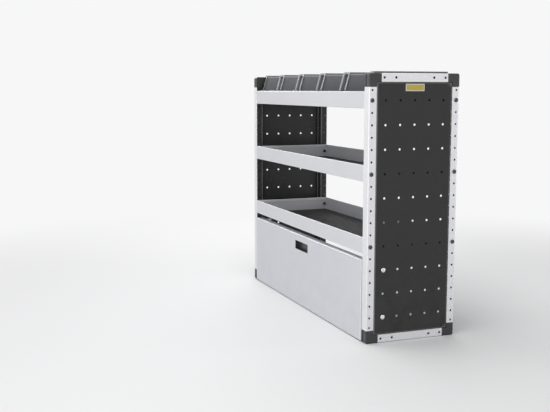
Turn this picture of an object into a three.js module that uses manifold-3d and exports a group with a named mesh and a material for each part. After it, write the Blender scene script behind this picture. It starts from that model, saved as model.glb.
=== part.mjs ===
// Racking unit for the load space of a van: two open end frames carry three lipped trays,
// a flap that drops forward closes the space below them, and five open fronted bins stand
// loose in the top tray.
// Millimetres. X runs along the unit, the front faces -Y and +Z is up. The origin lies on
// the floor under the middle of the unit. Right means +X and left means -X.
import * as THREE from "three";
import { mergeVertices } from "three/addons/utils/BufferGeometryUtils.js";
import Module from "manifold-3d";

const wasm = await Module();
wasm.setup();

// Whole frame, over the posts and the corner caps
const frameLength = 1395;
const frameDepth = 420;
const frameHeight = 1120;
const seatGap = 0.3;
const cutOverrun = 5;

// Corner posts and end bars, both of aluminium angle
const angleThickness = 2.5;
const postEndWidth = 34.5;
const postFrontWidth = 42;
const postCornerRadius = 5;
const barHeight = 35;
const barInset = 0.5;
const barHoleOffset = 88;
const barHoleDiameter = 10.5;

// Holes in the posts and in the panel folds behind them
const holePitch = 50;
const holeDiameter = 8.8;
const holeInset = 15;
const lowestHoleHeight = 110;

// Corner caps, which are also the feet
const capArmLength = 55.5;
const capCornerRadius = 9;
const capEdgeRadius = 4;
const capGrooveInset = 9;
const capGrooveWidth = 9;
const capGrooveDepth = 2.5;
const spigotLength = 24;
const spigotPegInset = 13;
const pegClearance = 0.3;

// Steel end panels
const panelThickness = 1.5;
const panelBendRadius = 3;
const gridSideMargin = 41.2;
const gridColumnsPerSide = 2;
const gridHoleDiameter = 9.5;
const holesPerGridRow = 2;

// Trays and the mats in them
const trayThickness = 1.5;
const trayLipHeight = 69;
const trayLipBelowBolt = 33;
const trayHemThickness = 2;
const trayHemHeight = 14;
const trayLevelShares = [1, 2 / 3, 1 / 3];
const matThickness = 3;
const matEdgeRoom = 1.5;

// Bolts and nuts that hold the trays
const trayBoltDiameter = 8;
const trayBoltHeadDiameter = 18;
const trayBoltHeadHeight = 4.5;
const trayNutAcrossCorners = 15;
const trayNutHeight = 6.5;
const trayNutFlangeDiameter = 17.5;
const trayNutFlangeHeight = 2;
const boltTipLength = 1.5;

// Storage bins
const binCount = 5;
const binHeight = 146;
const binWall = 2.5;
const binRimGap = 2.5;
const binLeftRoom = 1.2;
const binRightRoom = 9.7;
const binFrontRoom = 23.5;
const binBackRoom = 19;
const binLipHeight = 70;
const binMouthLean = 22;
const binMouthBorder = 14;
const binRimHeight = 10;
const binRimOverhang = 17.5;

// Front flap and its hinge
const flapThickness = 1.5;
const flapProud = 4;
const flapSideGap = 3.1;
const flapFloorGap = 4.5;
const flapTopGap = 26;
const flapTopFold = 34;
const flapSideFold = 22;
const flapBottomFold = 18;
const flapBendRadius = 2;
const pivotBehindFace = 9;
const pivotAboveEdge = 9.5;
const pinDiameter = 6;
const pinHeadDiameter = 11;
const pinHeadHeight = 3;
const pinClearance = 0.4;

// Finger cut-out in the flap and the cup behind it
const pullWidth = 157;
const pullHeight = 42;
const pullBelowTop = 33;
const cupOverlap = 8;
const cupDepth = 20;
const cupWall = 2;

// Brackets that carry the flap, and their screws
const bracketThickness = 2;
const bracketSideGap = 0.6;
const bracketBaseMargin = 23.3;
const bracketScrewMargin = 24;
const bracketFloorGap = 6;
const bracketPinMargin = 5.5;
const bracketScrewDiameter = 8;
const bracketScrewHeadDiameter = 20;
const bracketScrewHeadHeight = 4;
const bracketNutAcrossCorners = 15;
const bracketNutHeight = 6;

// Magnet catches at the top of the brackets
const catchWidth = 20;
const catchHeight = 20;
const catchBelowTop = 8;
const catchTabDepth = 13;

// Plain label on the right end panel
const labelWidth = 87;
const labelHeight = 29.5;
const labelBelowBar = 7.5;
const labelOffset = 1;
const labelThickness = 0.6;
const labelCornerRadius = 3;

// Facets
const arcSteps = 2;
const gridHoleSides = 8;
const holeSides = 6;
const boltSides = 10;
const pinSides = 12;
const nutSides = 6;
const wholeStepShare = 0.001;

// Places worked out from the sizes above
const endFace = frameLength / 2;
const frontFace = frameDepth / 2;
const innerFace = endFace - postFrontWidth;
const holeRow = frontFace - holeInset;
const capRise = barHeight + barInset;
const webHalfWidth = frontFace - postEndWidth - seatGap;
const gridColumnPitch = (webHalfWidth - gridSideMargin) / gridColumnsPerSide;
const webBottom = capRise + seatGap;
const webTop = frameHeight - webBottom;
const postBottom = capArmLength + seatGap;
const postTop = frameHeight - postBottom;
const barHalfWidth = frontFace - capArmLength - seatGap;
const foldHalfDepth = frontFace - angleThickness - seatGap;
const postHoleSteps = wholeSteps(frameHeight - 2 * lowestHoleHeight, holePitch);
const postHoleHeights = range(postHoleSteps + 1).map((step) => lowestHoleHeight + step * holePitch);
const gridHeights = postHoleHeights.filter((height, step) => step % holesPerGridRow === 0);
const pegHeight = frameHeight - capArmLength - spigotPegInset;
const pegOffset = frontFace - capArmLength - spigotPegInset;
const barHoleHeight = frameHeight - barInset - barHeight / 2;

const trayBoltHeights = trayLevelShares.map((share) => postHoleHeights[Math.round(share * postHoleSteps)]);
const trayOuterLength = innerFace - seatGap;
const trayInnerLength = trayOuterLength - trayThickness;
const trayInnerDepth = frontFace - trayThickness;
const hemInnerLength = trayInnerLength - trayHemThickness;
const hemInnerDepth = trayInnerDepth - trayHemThickness;
const matLift = trayThickness + seatGap;

const binsFloor = trayBoltHeights[0] - trayLipBelowBolt + matLift + matThickness + seatGap;
const binsTop = binsFloor + binHeight;
const binsLength = 2 * hemInnerLength - binLeftRoom - binRightRoom;
const binPitch = (binsLength + binRimGap) / binCount;
const binWidth = binPitch - binRimGap - 2 * binRimOverhang;
const binFront = -hemInnerDepth + binFrontRoom;
const binBack = hemInnerDepth - binBackRoom - binRimOverhang;

const flapFront = -frontFace - flapProud;
const flapInner = flapFront + flapThickness;
const flapHalfLength = innerFace - flapSideGap;
const flapBottom = flapFloorGap;
const flapTop = trayBoltHeights[trayBoltHeights.length - 1] - trayLipBelowBolt - flapTopGap;
const pivotY = flapFront + pivotBehindFace;
const pivotZ = flapBottom + pivotAboveEdge;
const bracketOuter = innerFace - bracketSideGap;
const bracketInner = bracketOuter - bracketThickness;
const bracketScrewColumn = -gridColumnsPerSide * gridColumnPitch;
const bracketScrewHeights = [
  gridHeights[0],
  gridHeights[wholeSteps(flapTop - gridHeights[0] - bracketScrewMargin, holesPerGridRow * holePitch)],
];
const bracketTop = bracketScrewHeights[1] + bracketScrewMargin;
const panelInner = endFace - panelThickness;

// Materials
const finishes = {
  aluminium: new THREE.MeshStandardMaterial({ color: 0xd9dadd, roughness: 0.42, metalness: 0.85 }),
  blackSteel: new THREE.MeshStandardMaterial({ color: 0x2b2b2c, roughness: 0.6, metalness: 0.2 }),
  greySheet: new THREE.MeshStandardMaterial({ color: 0xc9cad0, roughness: 0.45, metalness: 0.3 }),
  blackPlastic: new THREE.MeshStandardMaterial({ color: 0x242424, roughness: 0.65, metalness: 0 }),
  binPlastic: new THREE.MeshStandardMaterial({ color: 0x4b4b4e, roughness: 0.55, metalness: 0 }),
  rubber: new THREE.MeshStandardMaterial({ color: 0x2f3236, roughness: 0.85, metalness: 0 }),
  blackBolt: new THREE.MeshStandardMaterial({ color: 0x303034, roughness: 0.4, metalness: 0.7 }),
  brightSteel: new THREE.MeshStandardMaterial({ color: 0xcfd0d2, roughness: 0.25, metalness: 1 }),
  zincSteel: new THREE.MeshStandardMaterial({ color: 0xa3a6a8, roughness: 0.4, metalness: 0.9 }),
  labelFilm: new THREE.MeshStandardMaterial({ color: 0xd8cfae, roughness: 0.5, metalness: 0 }),
};

// Counts from nought to one below the number given
function range(count) {
  return Array.from({ length: count }, (unused, index) => index);
}

// How many whole pitches fit in a length
function wholeSteps(length, pitch) {
  return Math.floor(length / pitch + wholeStepShare);
}

// Turns a shape's own axes so that its depth runs along the named axis. Across X the shape
// is drawn in Y and Z, across Y in Z and X, and across Z in X and Y.
const unitX = new THREE.Vector3(1, 0, 0);
const unitY = new THREE.Vector3(0, 1, 0);
const unitZ = new THREE.Vector3(0, 0, 1);
const turns = {
  x: new THREE.Matrix4().makeBasis(unitY, unitZ, unitX),
  y: new THREE.Matrix4().makeBasis(unitZ, unitX, unitY),
  z: new THREE.Matrix4().makeBasis(unitX, unitY, unitZ),
};

// Closed geometry to solid, and back
function solid(geometry) {
  const bare = geometry.clone();
  bare.deleteAttribute("normal");
  bare.deleteAttribute("uv");
  const merged = mergeVertices(bare);
  const vertProperties = new Float32Array(merged.attributes.position.array);
  const triVerts = new Uint32Array(merged.index.array);
  return new wasm.Manifold(new wasm.Mesh({ numProp: 3, vertProperties, triVerts }));
}

function surface(body) {
  const mesh = body.getMesh();
  const geometry = new THREE.BufferGeometry();
  geometry.setAttribute("position", new THREE.BufferAttribute(mesh.vertProperties, 3));
  geometry.setIndex(new THREE.BufferAttribute(mesh.triVerts, 1));
  return geometry;
}

function join(bodies) {
  return bodies.reduce((whole, body) => whole.add(body));
}

function cut(body, tools) {
  return tools.length ? body.subtract(join(tools)) : body;
}

// A box between two places on each axis
function block([x0, x1], [y0, y1], [z0, z1]) {
  const geometry = new THREE.BoxGeometry(x1 - x0, y1 - y0, z1 - z0);
  geometry.translate((x0 + x1) / 2, (y0 + y1) / 2, (z0 + z1) / 2);
  return solid(geometry);
}

// A flat outline pushed along an axis from one place to another
function prism(axis, shape, [from, to]) {
  const options = { depth: to - from, bevelEnabled: false, curveSegments: arcSteps };
  const geometry = new THREE.ExtrudeGeometry(shape, options);
  geometry.translate(0, 0, from);
  geometry.applyMatrix4(turns[axis]);
  return solid(geometry);
}

// A round bar along X about the point (y, z)
function rod([y, z], diameter, [from, to], sides) {
  const geometry = new THREE.CylinderGeometry(diameter / 2, diameter / 2, to - from, sides);
  geometry.rotateX(Math.PI / 2);
  geometry.translate(0, 0, (from + to) / 2);
  geometry.applyMatrix4(turns.x);
  geometry.translate(0, y, z);
  return solid(geometry);
}

// A low domed head that stands on the plane X = base about the point (y, z)
function domedHead([y, z], diameter, base, height, sides) {
  const profile = [new THREE.Vector2(0, 0)];
  for (const step of range(arcSteps + 1)) {
    const angle = (step / arcSteps) * (Math.PI / 2);
    profile.push(new THREE.Vector2((diameter / 2) * Math.cos(angle / 2), height * Math.sin(angle)));
  }
  profile.push(new THREE.Vector2(0, height));
  const geometry = new THREE.LatheGeometry(profile, sides);
  geometry.rotateX(Math.PI / 2);
  geometry.applyMatrix4(turns.x);
  geometry.translate(base, y, z);
  return solid(geometry);
}

// An outline through points given as [u, v] or as [u, v, radius] for a rounded corner
function outline(points) {
  const shape = new THREE.Shape();
  points.forEach(([u, v, radius = 0], index) => {
    const corner = new THREE.Vector2(u, v);
    if (radius === 0) {
      index === 0 ? shape.moveTo(u, v) : shape.lineTo(u, v);
      return;
    }
    const before = points.at(index - 1);
    const after = points[(index + 1) % points.length];
    const enter = new THREE.Vector2(before[0], before[1]).sub(corner).setLength(radius).add(corner);
    const leave = new THREE.Vector2(after[0], after[1]).sub(corner).setLength(radius).add(corner);
    index === 0 ? shape.moveTo(enter.x, enter.y) : shape.lineTo(enter.x, enter.y);
    shape.quadraticCurveTo(u, v, leave.x, leave.y);
  });
  shape.closePath();
  return shape;
}

// A rectangle with all four corners rounded
function roundedRectangle([u0, u1], [v0, v1], radius) {
  return outline([
    [u0, v0, radius],
    [u1, v0, radius],
    [u1, v1, radius],
    [u0, v1, radius],
  ]);
}

// The same body mirrored, where a scale of -1 on an axis mirrors it there
function mirrored(geometry, [scaleX, scaleY, scaleZ]) {
  const copy = geometry.clone();
  copy.scale(scaleX, scaleY, scaleZ);
  if (scaleX * scaleY * scaleZ < 0) {
    const index = copy.index.array;
    for (const triangle of range(index.length / 3)) {
      const first = 3 * triangle;
      [index[first + 1], index[first + 2]] = [index[first + 2], index[first + 1]];
    }
  }
  return copy;
}

const unit = new THREE.Group();

function addPiece(parent, name, geometry, material) {
  geometry.computeVertexNormals();
  const mesh = new THREE.Mesh(geometry, material);
  mesh.name = name;
  parent.add(mesh);
  return mesh;
}

// The outer corner of an angle, rounded, with both legs of it, seen along its length
function angleOutline([cornerU, cornerV], [legU, legV]) {
  const insideU = cornerU - Math.sign(legU) * angleThickness;
  const insideV = cornerV - Math.sign(legV) * angleThickness;
  return outline([
    [cornerU, cornerV, postCornerRadius],
    [cornerU, cornerV - legV],
    [insideU, cornerV - legV],
    [insideU, insideV],
    [cornerU - legU, insideV],
    [cornerU - legU, cornerV],
  ]);
}

// Right back post: a leg on the end face with the hole row, and a plain leg on the back face
function postBody() {
  const angle = prism(
    "z",
    angleOutline([endFace, frontFace], [postFrontWidth, postEndWidth]),
    [postBottom, postTop],
  );
  const through = [endFace - angleThickness - cutOverrun, endFace + cutOverrun];
  const heights = [frameHeight - pegHeight, ...postHoleHeights, pegHeight];
  return cut(angle, heights.map((z) => rod([holeRow, z], holeDiameter, through, holeSides)));
}

// Top right bar: a leg on the end face with four holes, and a plain leg on top
function barBody() {
  const corner = [frameHeight - barInset, endFace];
  const angle = prism(
    "y",
    angleOutline(corner, [barHeight, postFrontWidth]),
    [-barHalfWidth, barHalfWidth],
  );
  const through = [endFace - angleThickness - cutOverrun, endFace + cutOverrun];
  const offsets = [-pegOffset, -barHoleOffset, barHoleOffset, pegOffset];
  return cut(angle, offsets.map((y) => rod([y, barHoleHeight], barHoleDiameter, through, holeSides)));
}

// Top right back cap: an L on the end face, rounded on its outer edges, with an upright groove
// in its back, one spigot down the post and one along the bar. A peg on each spigot snaps into
// the hole nearest the cap.
function capBody() {
  const across = [innerFace, endFace];
  const armInner = frontFace - capArmLength;
  const legInner = frontFace - postEndWidth;
  const armBottom = frameHeight - capArmLength;
  const legBottom = frameHeight - capRise;
  const face = outline([
    [frontFace, frameHeight, capCornerRadius],
    [armInner, frameHeight],
    [armInner, legBottom],
    [legInner, legBottom],
    [legInner, armBottom],
    [frontFace, armBottom],
  ]);
  const fromAbove = outline([
    [endFace, frontFace, capEdgeRadius],
    [innerFace, frontFace],
    [innerFace, armInner],
    [endFace, armInner],
  ]);
  const fromBack = outline([
    [frameHeight, endFace, capEdgeRadius],
    [armBottom, endFace],
    [armBottom, innerFace],
    [frameHeight, innerFace],
  ]);
  const shell = prism("x", face, across)
    .intersect(prism("z", fromAbove, [armBottom, frameHeight]))
    .intersect(prism("y", fromBack, [armInner, frontFace]));
  const grooveStart = innerFace + capGrooveInset;
  const groove = block(
    [grooveStart, grooveStart + capGrooveWidth],
    [frontFace - capGrooveDepth, frontFace + cutOverrun],
    [armBottom - cutOverrun, frameHeight + cutOverrun],
  );
  const inside = [innerFace + panelThickness + seatGap, endFace - angleThickness - seatGap];
  const downPost = block(
    inside,
    [legInner + seatGap, foldHalfDepth],
    [armBottom - spigotLength, armBottom + cutOverrun],
  );
  const alongBar = block(
    inside,
    [armInner - spigotLength, armInner + cutOverrun],
    [webTop + seatGap, frameHeight - barInset - angleThickness - seatGap],
  );
  const pegSpan = [inside[1] - cutOverrun, endFace - seatGap];
  const pegs = [
    rod([holeRow, pegHeight], holeDiameter - 2 * pegClearance, pegSpan, holeSides),
    rod([pegOffset, barHoleHeight], barHoleDiameter - 2 * pegClearance, pegSpan, holeSides),
  ];
  return join([cut(shell, [groove]), downPost, alongBar, ...pegs]);
}

// Right end panel: a dished sheet whose folded rim turns outwards behind posts and bars
function panelBody() {
  const middle = frameHeight / 2;
  const outer = dish(webHalfWidth, webTop - middle, [innerFace, endFace], panelBendRadius);
  const inner = dish(
    webHalfWidth - panelThickness,
    webTop - panelThickness - middle,
    [innerFace - cutOverrun, panelInner],
    panelBendRadius,
  );
  const foldAcross = [innerFace, innerFace + panelThickness];
  const foldInner = webHalfWidth - panelThickness;
  const sideFolds = [-1, 1].map((side) =>
    block(foldAcross, sorted(side * foldInner, side * foldHalfDepth), [postBottom, postTop]),
  );
  const reach = frameHeight - barInset - angleThickness - seatGap;
  const endFolds = [
    block(foldAcross, [-barHalfWidth, barHalfWidth], [webTop - panelThickness, reach]),
    block(foldAcross, [-barHalfWidth, barHalfWidth], [frameHeight - reach, webBottom + panelThickness]),
  ];
  const through = [innerFace - cutOverrun, endFace + cutOverrun];
  const columns = range(2 * gridColumnsPerSide + 1).map((step) => (step - gridColumnsPerSide) * gridColumnPitch);
  const gridHoles = gridHeights.flatMap((z) =>
    columns.map((y) => rod([y, z], gridHoleDiameter, through, gridHoleSides)),
  );
  const foldHoles = postHoleHeights.flatMap((z) =>
    [-1, 1].map((side) => rod([side * holeRow, z], holeDiameter, through, holeSides)),
  );
  const sheet = join([cut(outer, [inner]), ...sideFolds, ...endFolds]);
  return cut(sheet, [...gridHoles, ...foldHoles]);
}

// A block centred on the end face with the edges at its outer end bevelled round
function dish(halfWidth, halfHeight, [from, to], radius) {
  const shape = roundedRectangle([-halfWidth, halfWidth], [-halfHeight, halfHeight], radius);
  const flat = prism("x", shape, [from, to]);
  const sideView = roundedRectangle([from - 2 * radius, to], [-halfWidth, halfWidth], radius);
  const topView = roundedRectangle([-halfHeight, halfHeight], [from - 2 * radius, to], radius);
  const rounded = flat
    .intersect(prism("z", sideView, [-halfHeight - radius, halfHeight + radius]))
    .intersect(prism("y", topView, [-halfWidth - radius, halfWidth + radius]));
  return rounded.translate([0, 0, frameHeight / 2]);
}

function sorted(first, second) {
  return first < second ? [first, second] : [second, first];
}

// A bolt of the right end through the post, the panel's fold and the tray's lip, with its nut
function trayBoltBody(place) {
  const seat = endFace + seatGap;
  const nutSeat = trayInnerLength - seatGap;
  const tip = nutSeat - trayNutHeight - boltTipLength;
  return join([
    domedHead(place, trayBoltHeadDiameter, seat, trayBoltHeadHeight, boltSides),
    rod(place, trayBoltDiameter, [tip, seat + trayBoltHeadHeight / 2], holeSides),
    rod(place, trayNutAcrossCorners, [nutSeat - trayNutHeight, nutSeat], nutSides),
    rod(place, trayNutFlangeDiameter, [nutSeat - trayNutFlangeHeight, nutSeat], boltSides),
  ]);
}

// A tray folded from sheet, its lips hemmed inwards, with a hole for each of its four bolts
function trayBody(boltHeight) {
  const floor = boltHeight - trayLipBelowBolt;
  const top = floor + trayLipHeight;
  const both = (half) => [-half, half];
  const outer = block(both(trayOuterLength), both(frontFace), [floor, top]);
  const inside = block(both(trayInnerLength), both(trayInnerDepth), [floor + trayThickness, top - trayHemHeight]);
  const mouth = block(both(hemInnerLength), both(hemInnerDepth), [floor + trayThickness, top + cutOverrun]);
  const through = [-trayOuterLength - cutOverrun, trayOuterLength + cutOverrun];
  const holes = [-1, 1].map((side) => rod([side * holeRow, boltHeight], holeDiameter, through, holeSides));
  return cut(outer, [inside, mouth, ...holes]);
}

function matBody(boltHeight) {
  const under = boltHeight - trayLipBelowBolt + matLift;
  const halfLength = trayInnerLength - matEdgeRoom;
  const halfDepth = trayInnerDepth - matEdgeRoom;
  return block([-halfLength, halfLength], [-halfDepth, halfDepth], [under, under + matThickness]);
}

// A bin seen from its right side: a low front wall, and above it a mouth that leans back
function binSide(inset, lift, extraTop) {
  const slope = binMouthLean / (binHeight - binLipHeight);
  const front = binFront + inset;
  const mouthBottom = binsFloor + binLipHeight;
  return outline([
    [binBack - inset, binsFloor + lift],
    [binBack - inset, binsTop + extraTop],
    [front + binMouthLean + slope * extraTop, binsTop + extraTop],
    [front, mouthBottom],
    [front, binsFloor + lift],
  ]);
}

// The bin's walls step out under its top into a wide stacking rim, open above
function binBody(left) {
  const right = left + binWidth;
  const shell = prism("x", binSide(0, 0, 0), [left, right]);
  const rimBottom = binsTop - binRimHeight;
  const rimFront = binFront + binMouthLean;
  const rim = block(
    [left - binRimOverhang, right + binRimOverhang],
    [rimFront, binBack + binRimOverhang],
    [rimBottom, binsTop],
  );
  const hollow = prism("x", binSide(binWall, binWall, cutOverrun), [left + binWall, right - binWall]);
  const stepOut = binRimOverhang - binWall;
  const step = block(
    [left - stepOut, right + stepOut],
    [rimFront + binWall, binBack + stepOut],
    [rimBottom + binWall, binsTop + cutOverrun],
  );
  const mouth = block(
    [left + binMouthBorder, right - binMouthBorder],
    [binFront - cutOverrun, rimFront + binMouthLean],
    [binsFloor + binLipHeight, binsTop + cutOverrun],
  );
  return cut(join([shell, rim]), [hollow, step, mouth]);
}

// The flap: a front sheet with folds along all four edges and a cut-out for the fingers
function flapBody() {
  const along = (half) => [-half, half];
  const back = flapFront + flapTopFold;
  const skin = roundedRectangle([flapFront, back + 2 * flapBendRadius], [flapBottom, flapTop], flapBendRadius);
  const fromAbove = roundedRectangle(
    [-flapHalfLength, flapHalfLength],
    [flapFront, back + 2 * flapBendRadius],
    flapBendRadius,
  );
  const outer = prism("x", skin, along(flapHalfLength))
    .intersect(prism("z", fromAbove, [flapBottom, flapTop]))
    .intersect(block(along(flapHalfLength), [flapFront, back], [flapBottom, flapTop]));
  const inner = block(
    along(flapHalfLength - flapThickness),
    [flapInner, back + cutOverrun],
    [flapBottom + flapThickness, flapTop - flapThickness],
  );
  const behindSides = block(
    along(flapHalfLength + cutOverrun),
    [flapFront + flapSideFold, back + cutOverrun],
    [flapBottom - cutOverrun, flapTop - flapThickness],
  );
  const behindBottom = block(
    along(flapHalfLength + cutOverrun),
    [flapFront + flapBottomFold, back + cutOverrun],
    [flapBottom - cutOverrun, flapBottom + flapThickness],
  );
  const fingers = block(along(pullWidth / 2), [flapFront - cutOverrun, flapInner + cutOverrun], pullSpan());
  const pinHole = rod(
    [pivotY, pivotZ],
    pinDiameter + 2 * pinClearance,
    along(flapHalfLength + cutOverrun),
    pinSides,
  );
  return cut(outer, [inner, behindSides, behindBottom, fingers, pinHole]);
}

function pullSpan() {
  const top = flapTop - pullBelowTop;
  return [top - pullHeight, top];
}

// The finger cup sits against the back of the flap and reaches past the cut-out all round
function cupBody() {
  const [low, high] = pullSpan();
  const inside = pullWidth / 2 + cupOverlap;
  const outside = inside + cupWall;
  const front = flapInner + seatGap;
  const shell = block(
    [-outside, outside],
    [front, front + cupDepth],
    [low - cupOverlap - cupWall, high + cupOverlap + cupWall],
  );
  const hollow = block(
    [-inside, inside],
    [front - cutOverrun, front + cupDepth - cupWall],
    [low - cupOverlap, high + cupOverlap],
  );
  return cut(shell, [hollow]);
}

// Right bracket: a base on the panel's inner face, a web beside the panel's fold and a plate
// next to the flap's side fold, which holds the hinge pin
function bracketBody() {
  const wallInner = -webHalfWidth + panelThickness + panelBendRadius;
  const webSpan = [wallInner, wallInner + bracketThickness];
  const baseOuter = panelInner - seatGap;
  const low = bracketScrewHeights[0] - bracketScrewMargin;
  const base = block(
    [baseOuter - bracketThickness, baseOuter],
    [wallInner, bracketScrewColumn + bracketBaseMargin],
    [low, bracketTop],
  );
  const web = block([bracketInner, baseOuter], webSpan, [low, bracketTop]);
  const plate = block(
    [bracketInner, bracketOuter],
    [pivotY - bracketPinMargin, webSpan[1]],
    [bracketFloorGap, bracketTop],
  );
  const pinHole = rod(
    [pivotY, pivotZ],
    pinDiameter + 2 * seatGap,
    [bracketInner - cutOverrun, bracketOuter + cutOverrun],
    pinSides,
  );
  const screwHoles = bracketScrewHeights.map((z) =>
    rod(
      [bracketScrewColumn, z],
      bracketScrewDiameter + 2 * seatGap,
      [baseOuter - bracketThickness - cutOverrun, baseOuter + cutOverrun],
      holeSides,
    ),
  );
  return cut(join([base, web, plate]), [pinHole, ...screwHoles]);
}

// Right hinge pin: a shank in the bracket's plate and a head inside the flap's side fold
function pinBody() {
  const headOuter = flapHalfLength - flapThickness - seatGap;
  const centre = [pivotY, pivotZ];
  return join([
    rod(centre, pinDiameter, [headOuter - pinHeadHeight / 2, bracketOuter], pinSides),
    rod(centre, pinHeadDiameter, [headOuter - pinHeadHeight, headOuter], pinSides),
  ]);
}

// Right catch: a magnet block behind the flap, with a tab that reaches the bracket's plate
// behind the flap's side fold
function catchBody() {
  const outer = flapHalfLength - flapThickness - bracketSideGap;
  const back = -webHalfWidth;
  const top = Math.min(bracketTop, flapTop - flapThickness) - catchBelowTop;
  const heights = [top - catchHeight, top];
  return join([
    block([outer - catchWidth, outer], [flapInner + seatGap, back], heights),
    block([outer - catchWidth / 2, bracketInner - seatGap], [back - catchTabDepth, back], heights),
  ]);
}

// A bright screw through the right panel into the bracket, with its nut
function bracketScrewBody(place) {
  const seat = endFace + seatGap;
  const nutSeat = panelInner - seatGap - bracketThickness - seatGap;
  const tip = nutSeat - bracketNutHeight - boltTipLength;
  return join([
    domedHead(place, bracketScrewHeadDiameter, seat, bracketScrewHeadHeight, boltSides),
    rod(place, bracketScrewDiameter, [tip, seat + bracketScrewHeadHeight / 2], holeSides),
    rod(place, bracketNutAcrossCorners, [nutSeat - bracketNutHeight, nutSeat], nutSides),
  ]);
}

function labelBody() {
  const top = webTop - labelBelowBar;
  const side = [-labelOffset - labelWidth / 2, -labelOffset + labelWidth / 2];
  const shape = roundedRectangle(side, [top - labelHeight, top], labelCornerRadius);
  return prism("x", shape, [endFace + seatGap, endFace + seatGap + labelThickness]);
}

// Both end frames: each piece is made once, for the right, the back and the top, and mirrored
// to its other places
const ends = { right: 1, left: -1 };
const depths = { back: 1, front: -1 };
const levels = { top: 1, bottom: -1 };
const trayNames = ["top", "middle", "lower"];
const bracketScrewNames = ["lower", "upper"];

function addEndFrames() {
  const post = surface(postBody());
  const bar = surface(barBody());
  const cap = surface(capBody());
  const panel = surface(panelBody());
  const middle = frameHeight / 2;
  // Mirrors up and down about the middle height, the other ways about the origin
  const placed = (geometry, scale) => {
    const centred = geometry.clone().translate(0, 0, -middle);
    return mirrored(centred, scale).translate(0, 0, middle);
  };
  for (const [end, alongX] of Object.entries(ends)) {
    addPiece(unit, `end_panel_${end}`, placed(panel, [alongX, 1, 1]), finishes.blackSteel);
    for (const [level, alongZ] of Object.entries(levels)) {
      addPiece(unit, `bar_${end}_${level}`, placed(bar, [alongX, 1, alongZ]), finishes.aluminium);
    }
    for (const [depth, alongY] of Object.entries(depths)) {
      addPiece(unit, `post_${end}_${depth}`, placed(post, [alongX, alongY, 1]), finishes.aluminium);
      for (const [level, alongZ] of Object.entries(levels)) {
        const name = `cap_${end}_${depth}_${level}`;
        addPiece(unit, name, placed(cap, [alongX, alongY, alongZ]), finishes.blackPlastic);
      }
    }
  }
}

function addFasteners() {
  const add = (name, body, alongX, material) =>
    addPiece(unit, name, mirrored(surface(body), [alongX, 1, 1]), material);
  for (const [end, alongX] of Object.entries(ends)) {
    for (const [depth, alongY] of Object.entries(depths)) {
      trayBoltHeights.forEach((height, index) => {
        const name = `tray_bolt_${end}_${depth}_${trayNames[index]}`;
        add(name, trayBoltBody([alongY * holeRow, height]), alongX, finishes.blackBolt);
      });
    }
    bracketScrewHeights.forEach((height, index) => {
      const name = `bracket_screw_${end}_${bracketScrewNames[index]}`;
      add(name, bracketScrewBody([bracketScrewColumn, height]), alongX, finishes.brightSteel);
    });
  }
}

function addTrays() {
  trayBoltHeights.forEach((height, index) => {
    addPiece(unit, `tray_${trayNames[index]}`, surface(trayBody(height)), finishes.greySheet);
    addPiece(unit, `mat_${trayNames[index]}`, surface(matBody(height)), finishes.rubber);
  });
}

function addBins() {
  for (const index of range(binCount)) {
    const left = -hemInnerLength + binLeftRoom + binRimOverhang + index * binPitch;
    addPiece(unit, `bin_${index + 1}`, surface(binBody(left)), finishes.binPlastic);
  }
}

function addFlap() {
  addPiece(unit, "flap_panel", surface(flapBody()), finishes.greySheet);
  addPiece(unit, "flap_pull", surface(cupBody()), finishes.blackPlastic);
  const sides = [
    ["flap_bracket", bracketBody(), finishes.zincSteel],
    ["hinge_pin", pinBody(), finishes.brightSteel],
    ["flap_catch", catchBody(), finishes.blackPlastic],
  ];
  for (const [name, body, material] of sides) {
    for (const [end, alongX] of Object.entries(ends)) {
      addPiece(unit, `${name}_${end}`, mirrored(surface(body), [alongX, 1, 1]), material);
    }
  }
}

addEndFrames();
addTrays();
addBins();
addFlap();
addFasteners();
addPiece(unit, "blank_label", surface(labelBody()), finishes.labelFilm);

export default unit;
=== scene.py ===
"""A racking unit for a van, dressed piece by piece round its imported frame.

Two end frames of pale aluminium angle and black perforated steel carry three lipped trays. Five
open fronted bins stand in the top tray, and a flap that drops forward closes the space at the
floor. Metres throughout. X runs along the unit, the front faces -Y and Z is up. What stands at
both ends is worked out at the right, the back and the top, and mirrored to the other places.
"""
import logging
import math
from dataclasses import dataclass
from enum import Enum
from itertools import product
from typing import Any, ClassVar, Iterable, Optional, Sequence, Union

import bmesh
import bpy
from mathutils import Matrix, Vector


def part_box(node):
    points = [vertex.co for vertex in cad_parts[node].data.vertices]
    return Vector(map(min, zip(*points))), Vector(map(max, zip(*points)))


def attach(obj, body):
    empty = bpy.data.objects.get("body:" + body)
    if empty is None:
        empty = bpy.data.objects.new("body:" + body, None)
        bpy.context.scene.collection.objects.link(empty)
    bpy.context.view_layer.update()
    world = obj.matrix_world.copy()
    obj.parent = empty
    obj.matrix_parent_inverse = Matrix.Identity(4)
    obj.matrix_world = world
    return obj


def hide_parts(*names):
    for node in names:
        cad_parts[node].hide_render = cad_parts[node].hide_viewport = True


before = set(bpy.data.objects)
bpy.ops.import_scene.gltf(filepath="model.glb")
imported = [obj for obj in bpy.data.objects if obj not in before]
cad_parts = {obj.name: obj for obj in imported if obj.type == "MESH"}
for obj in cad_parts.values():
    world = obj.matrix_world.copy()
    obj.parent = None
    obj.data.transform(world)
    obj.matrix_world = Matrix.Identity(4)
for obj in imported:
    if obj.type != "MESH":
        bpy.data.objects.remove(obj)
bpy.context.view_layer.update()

LOG = logging.getLogger("racking_unit")
MM = 0.001
QUARTER = math.pi / 2
HAIR = 1e-9
SLACK = 1e-7
WELD = 1e-6
# The layer that marks the bends of folded sheets; the powder coats paint a highlight along it.
BEND_LAYER = "bend"
RIM_LAYER = "bevel_weight_edge"

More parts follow.
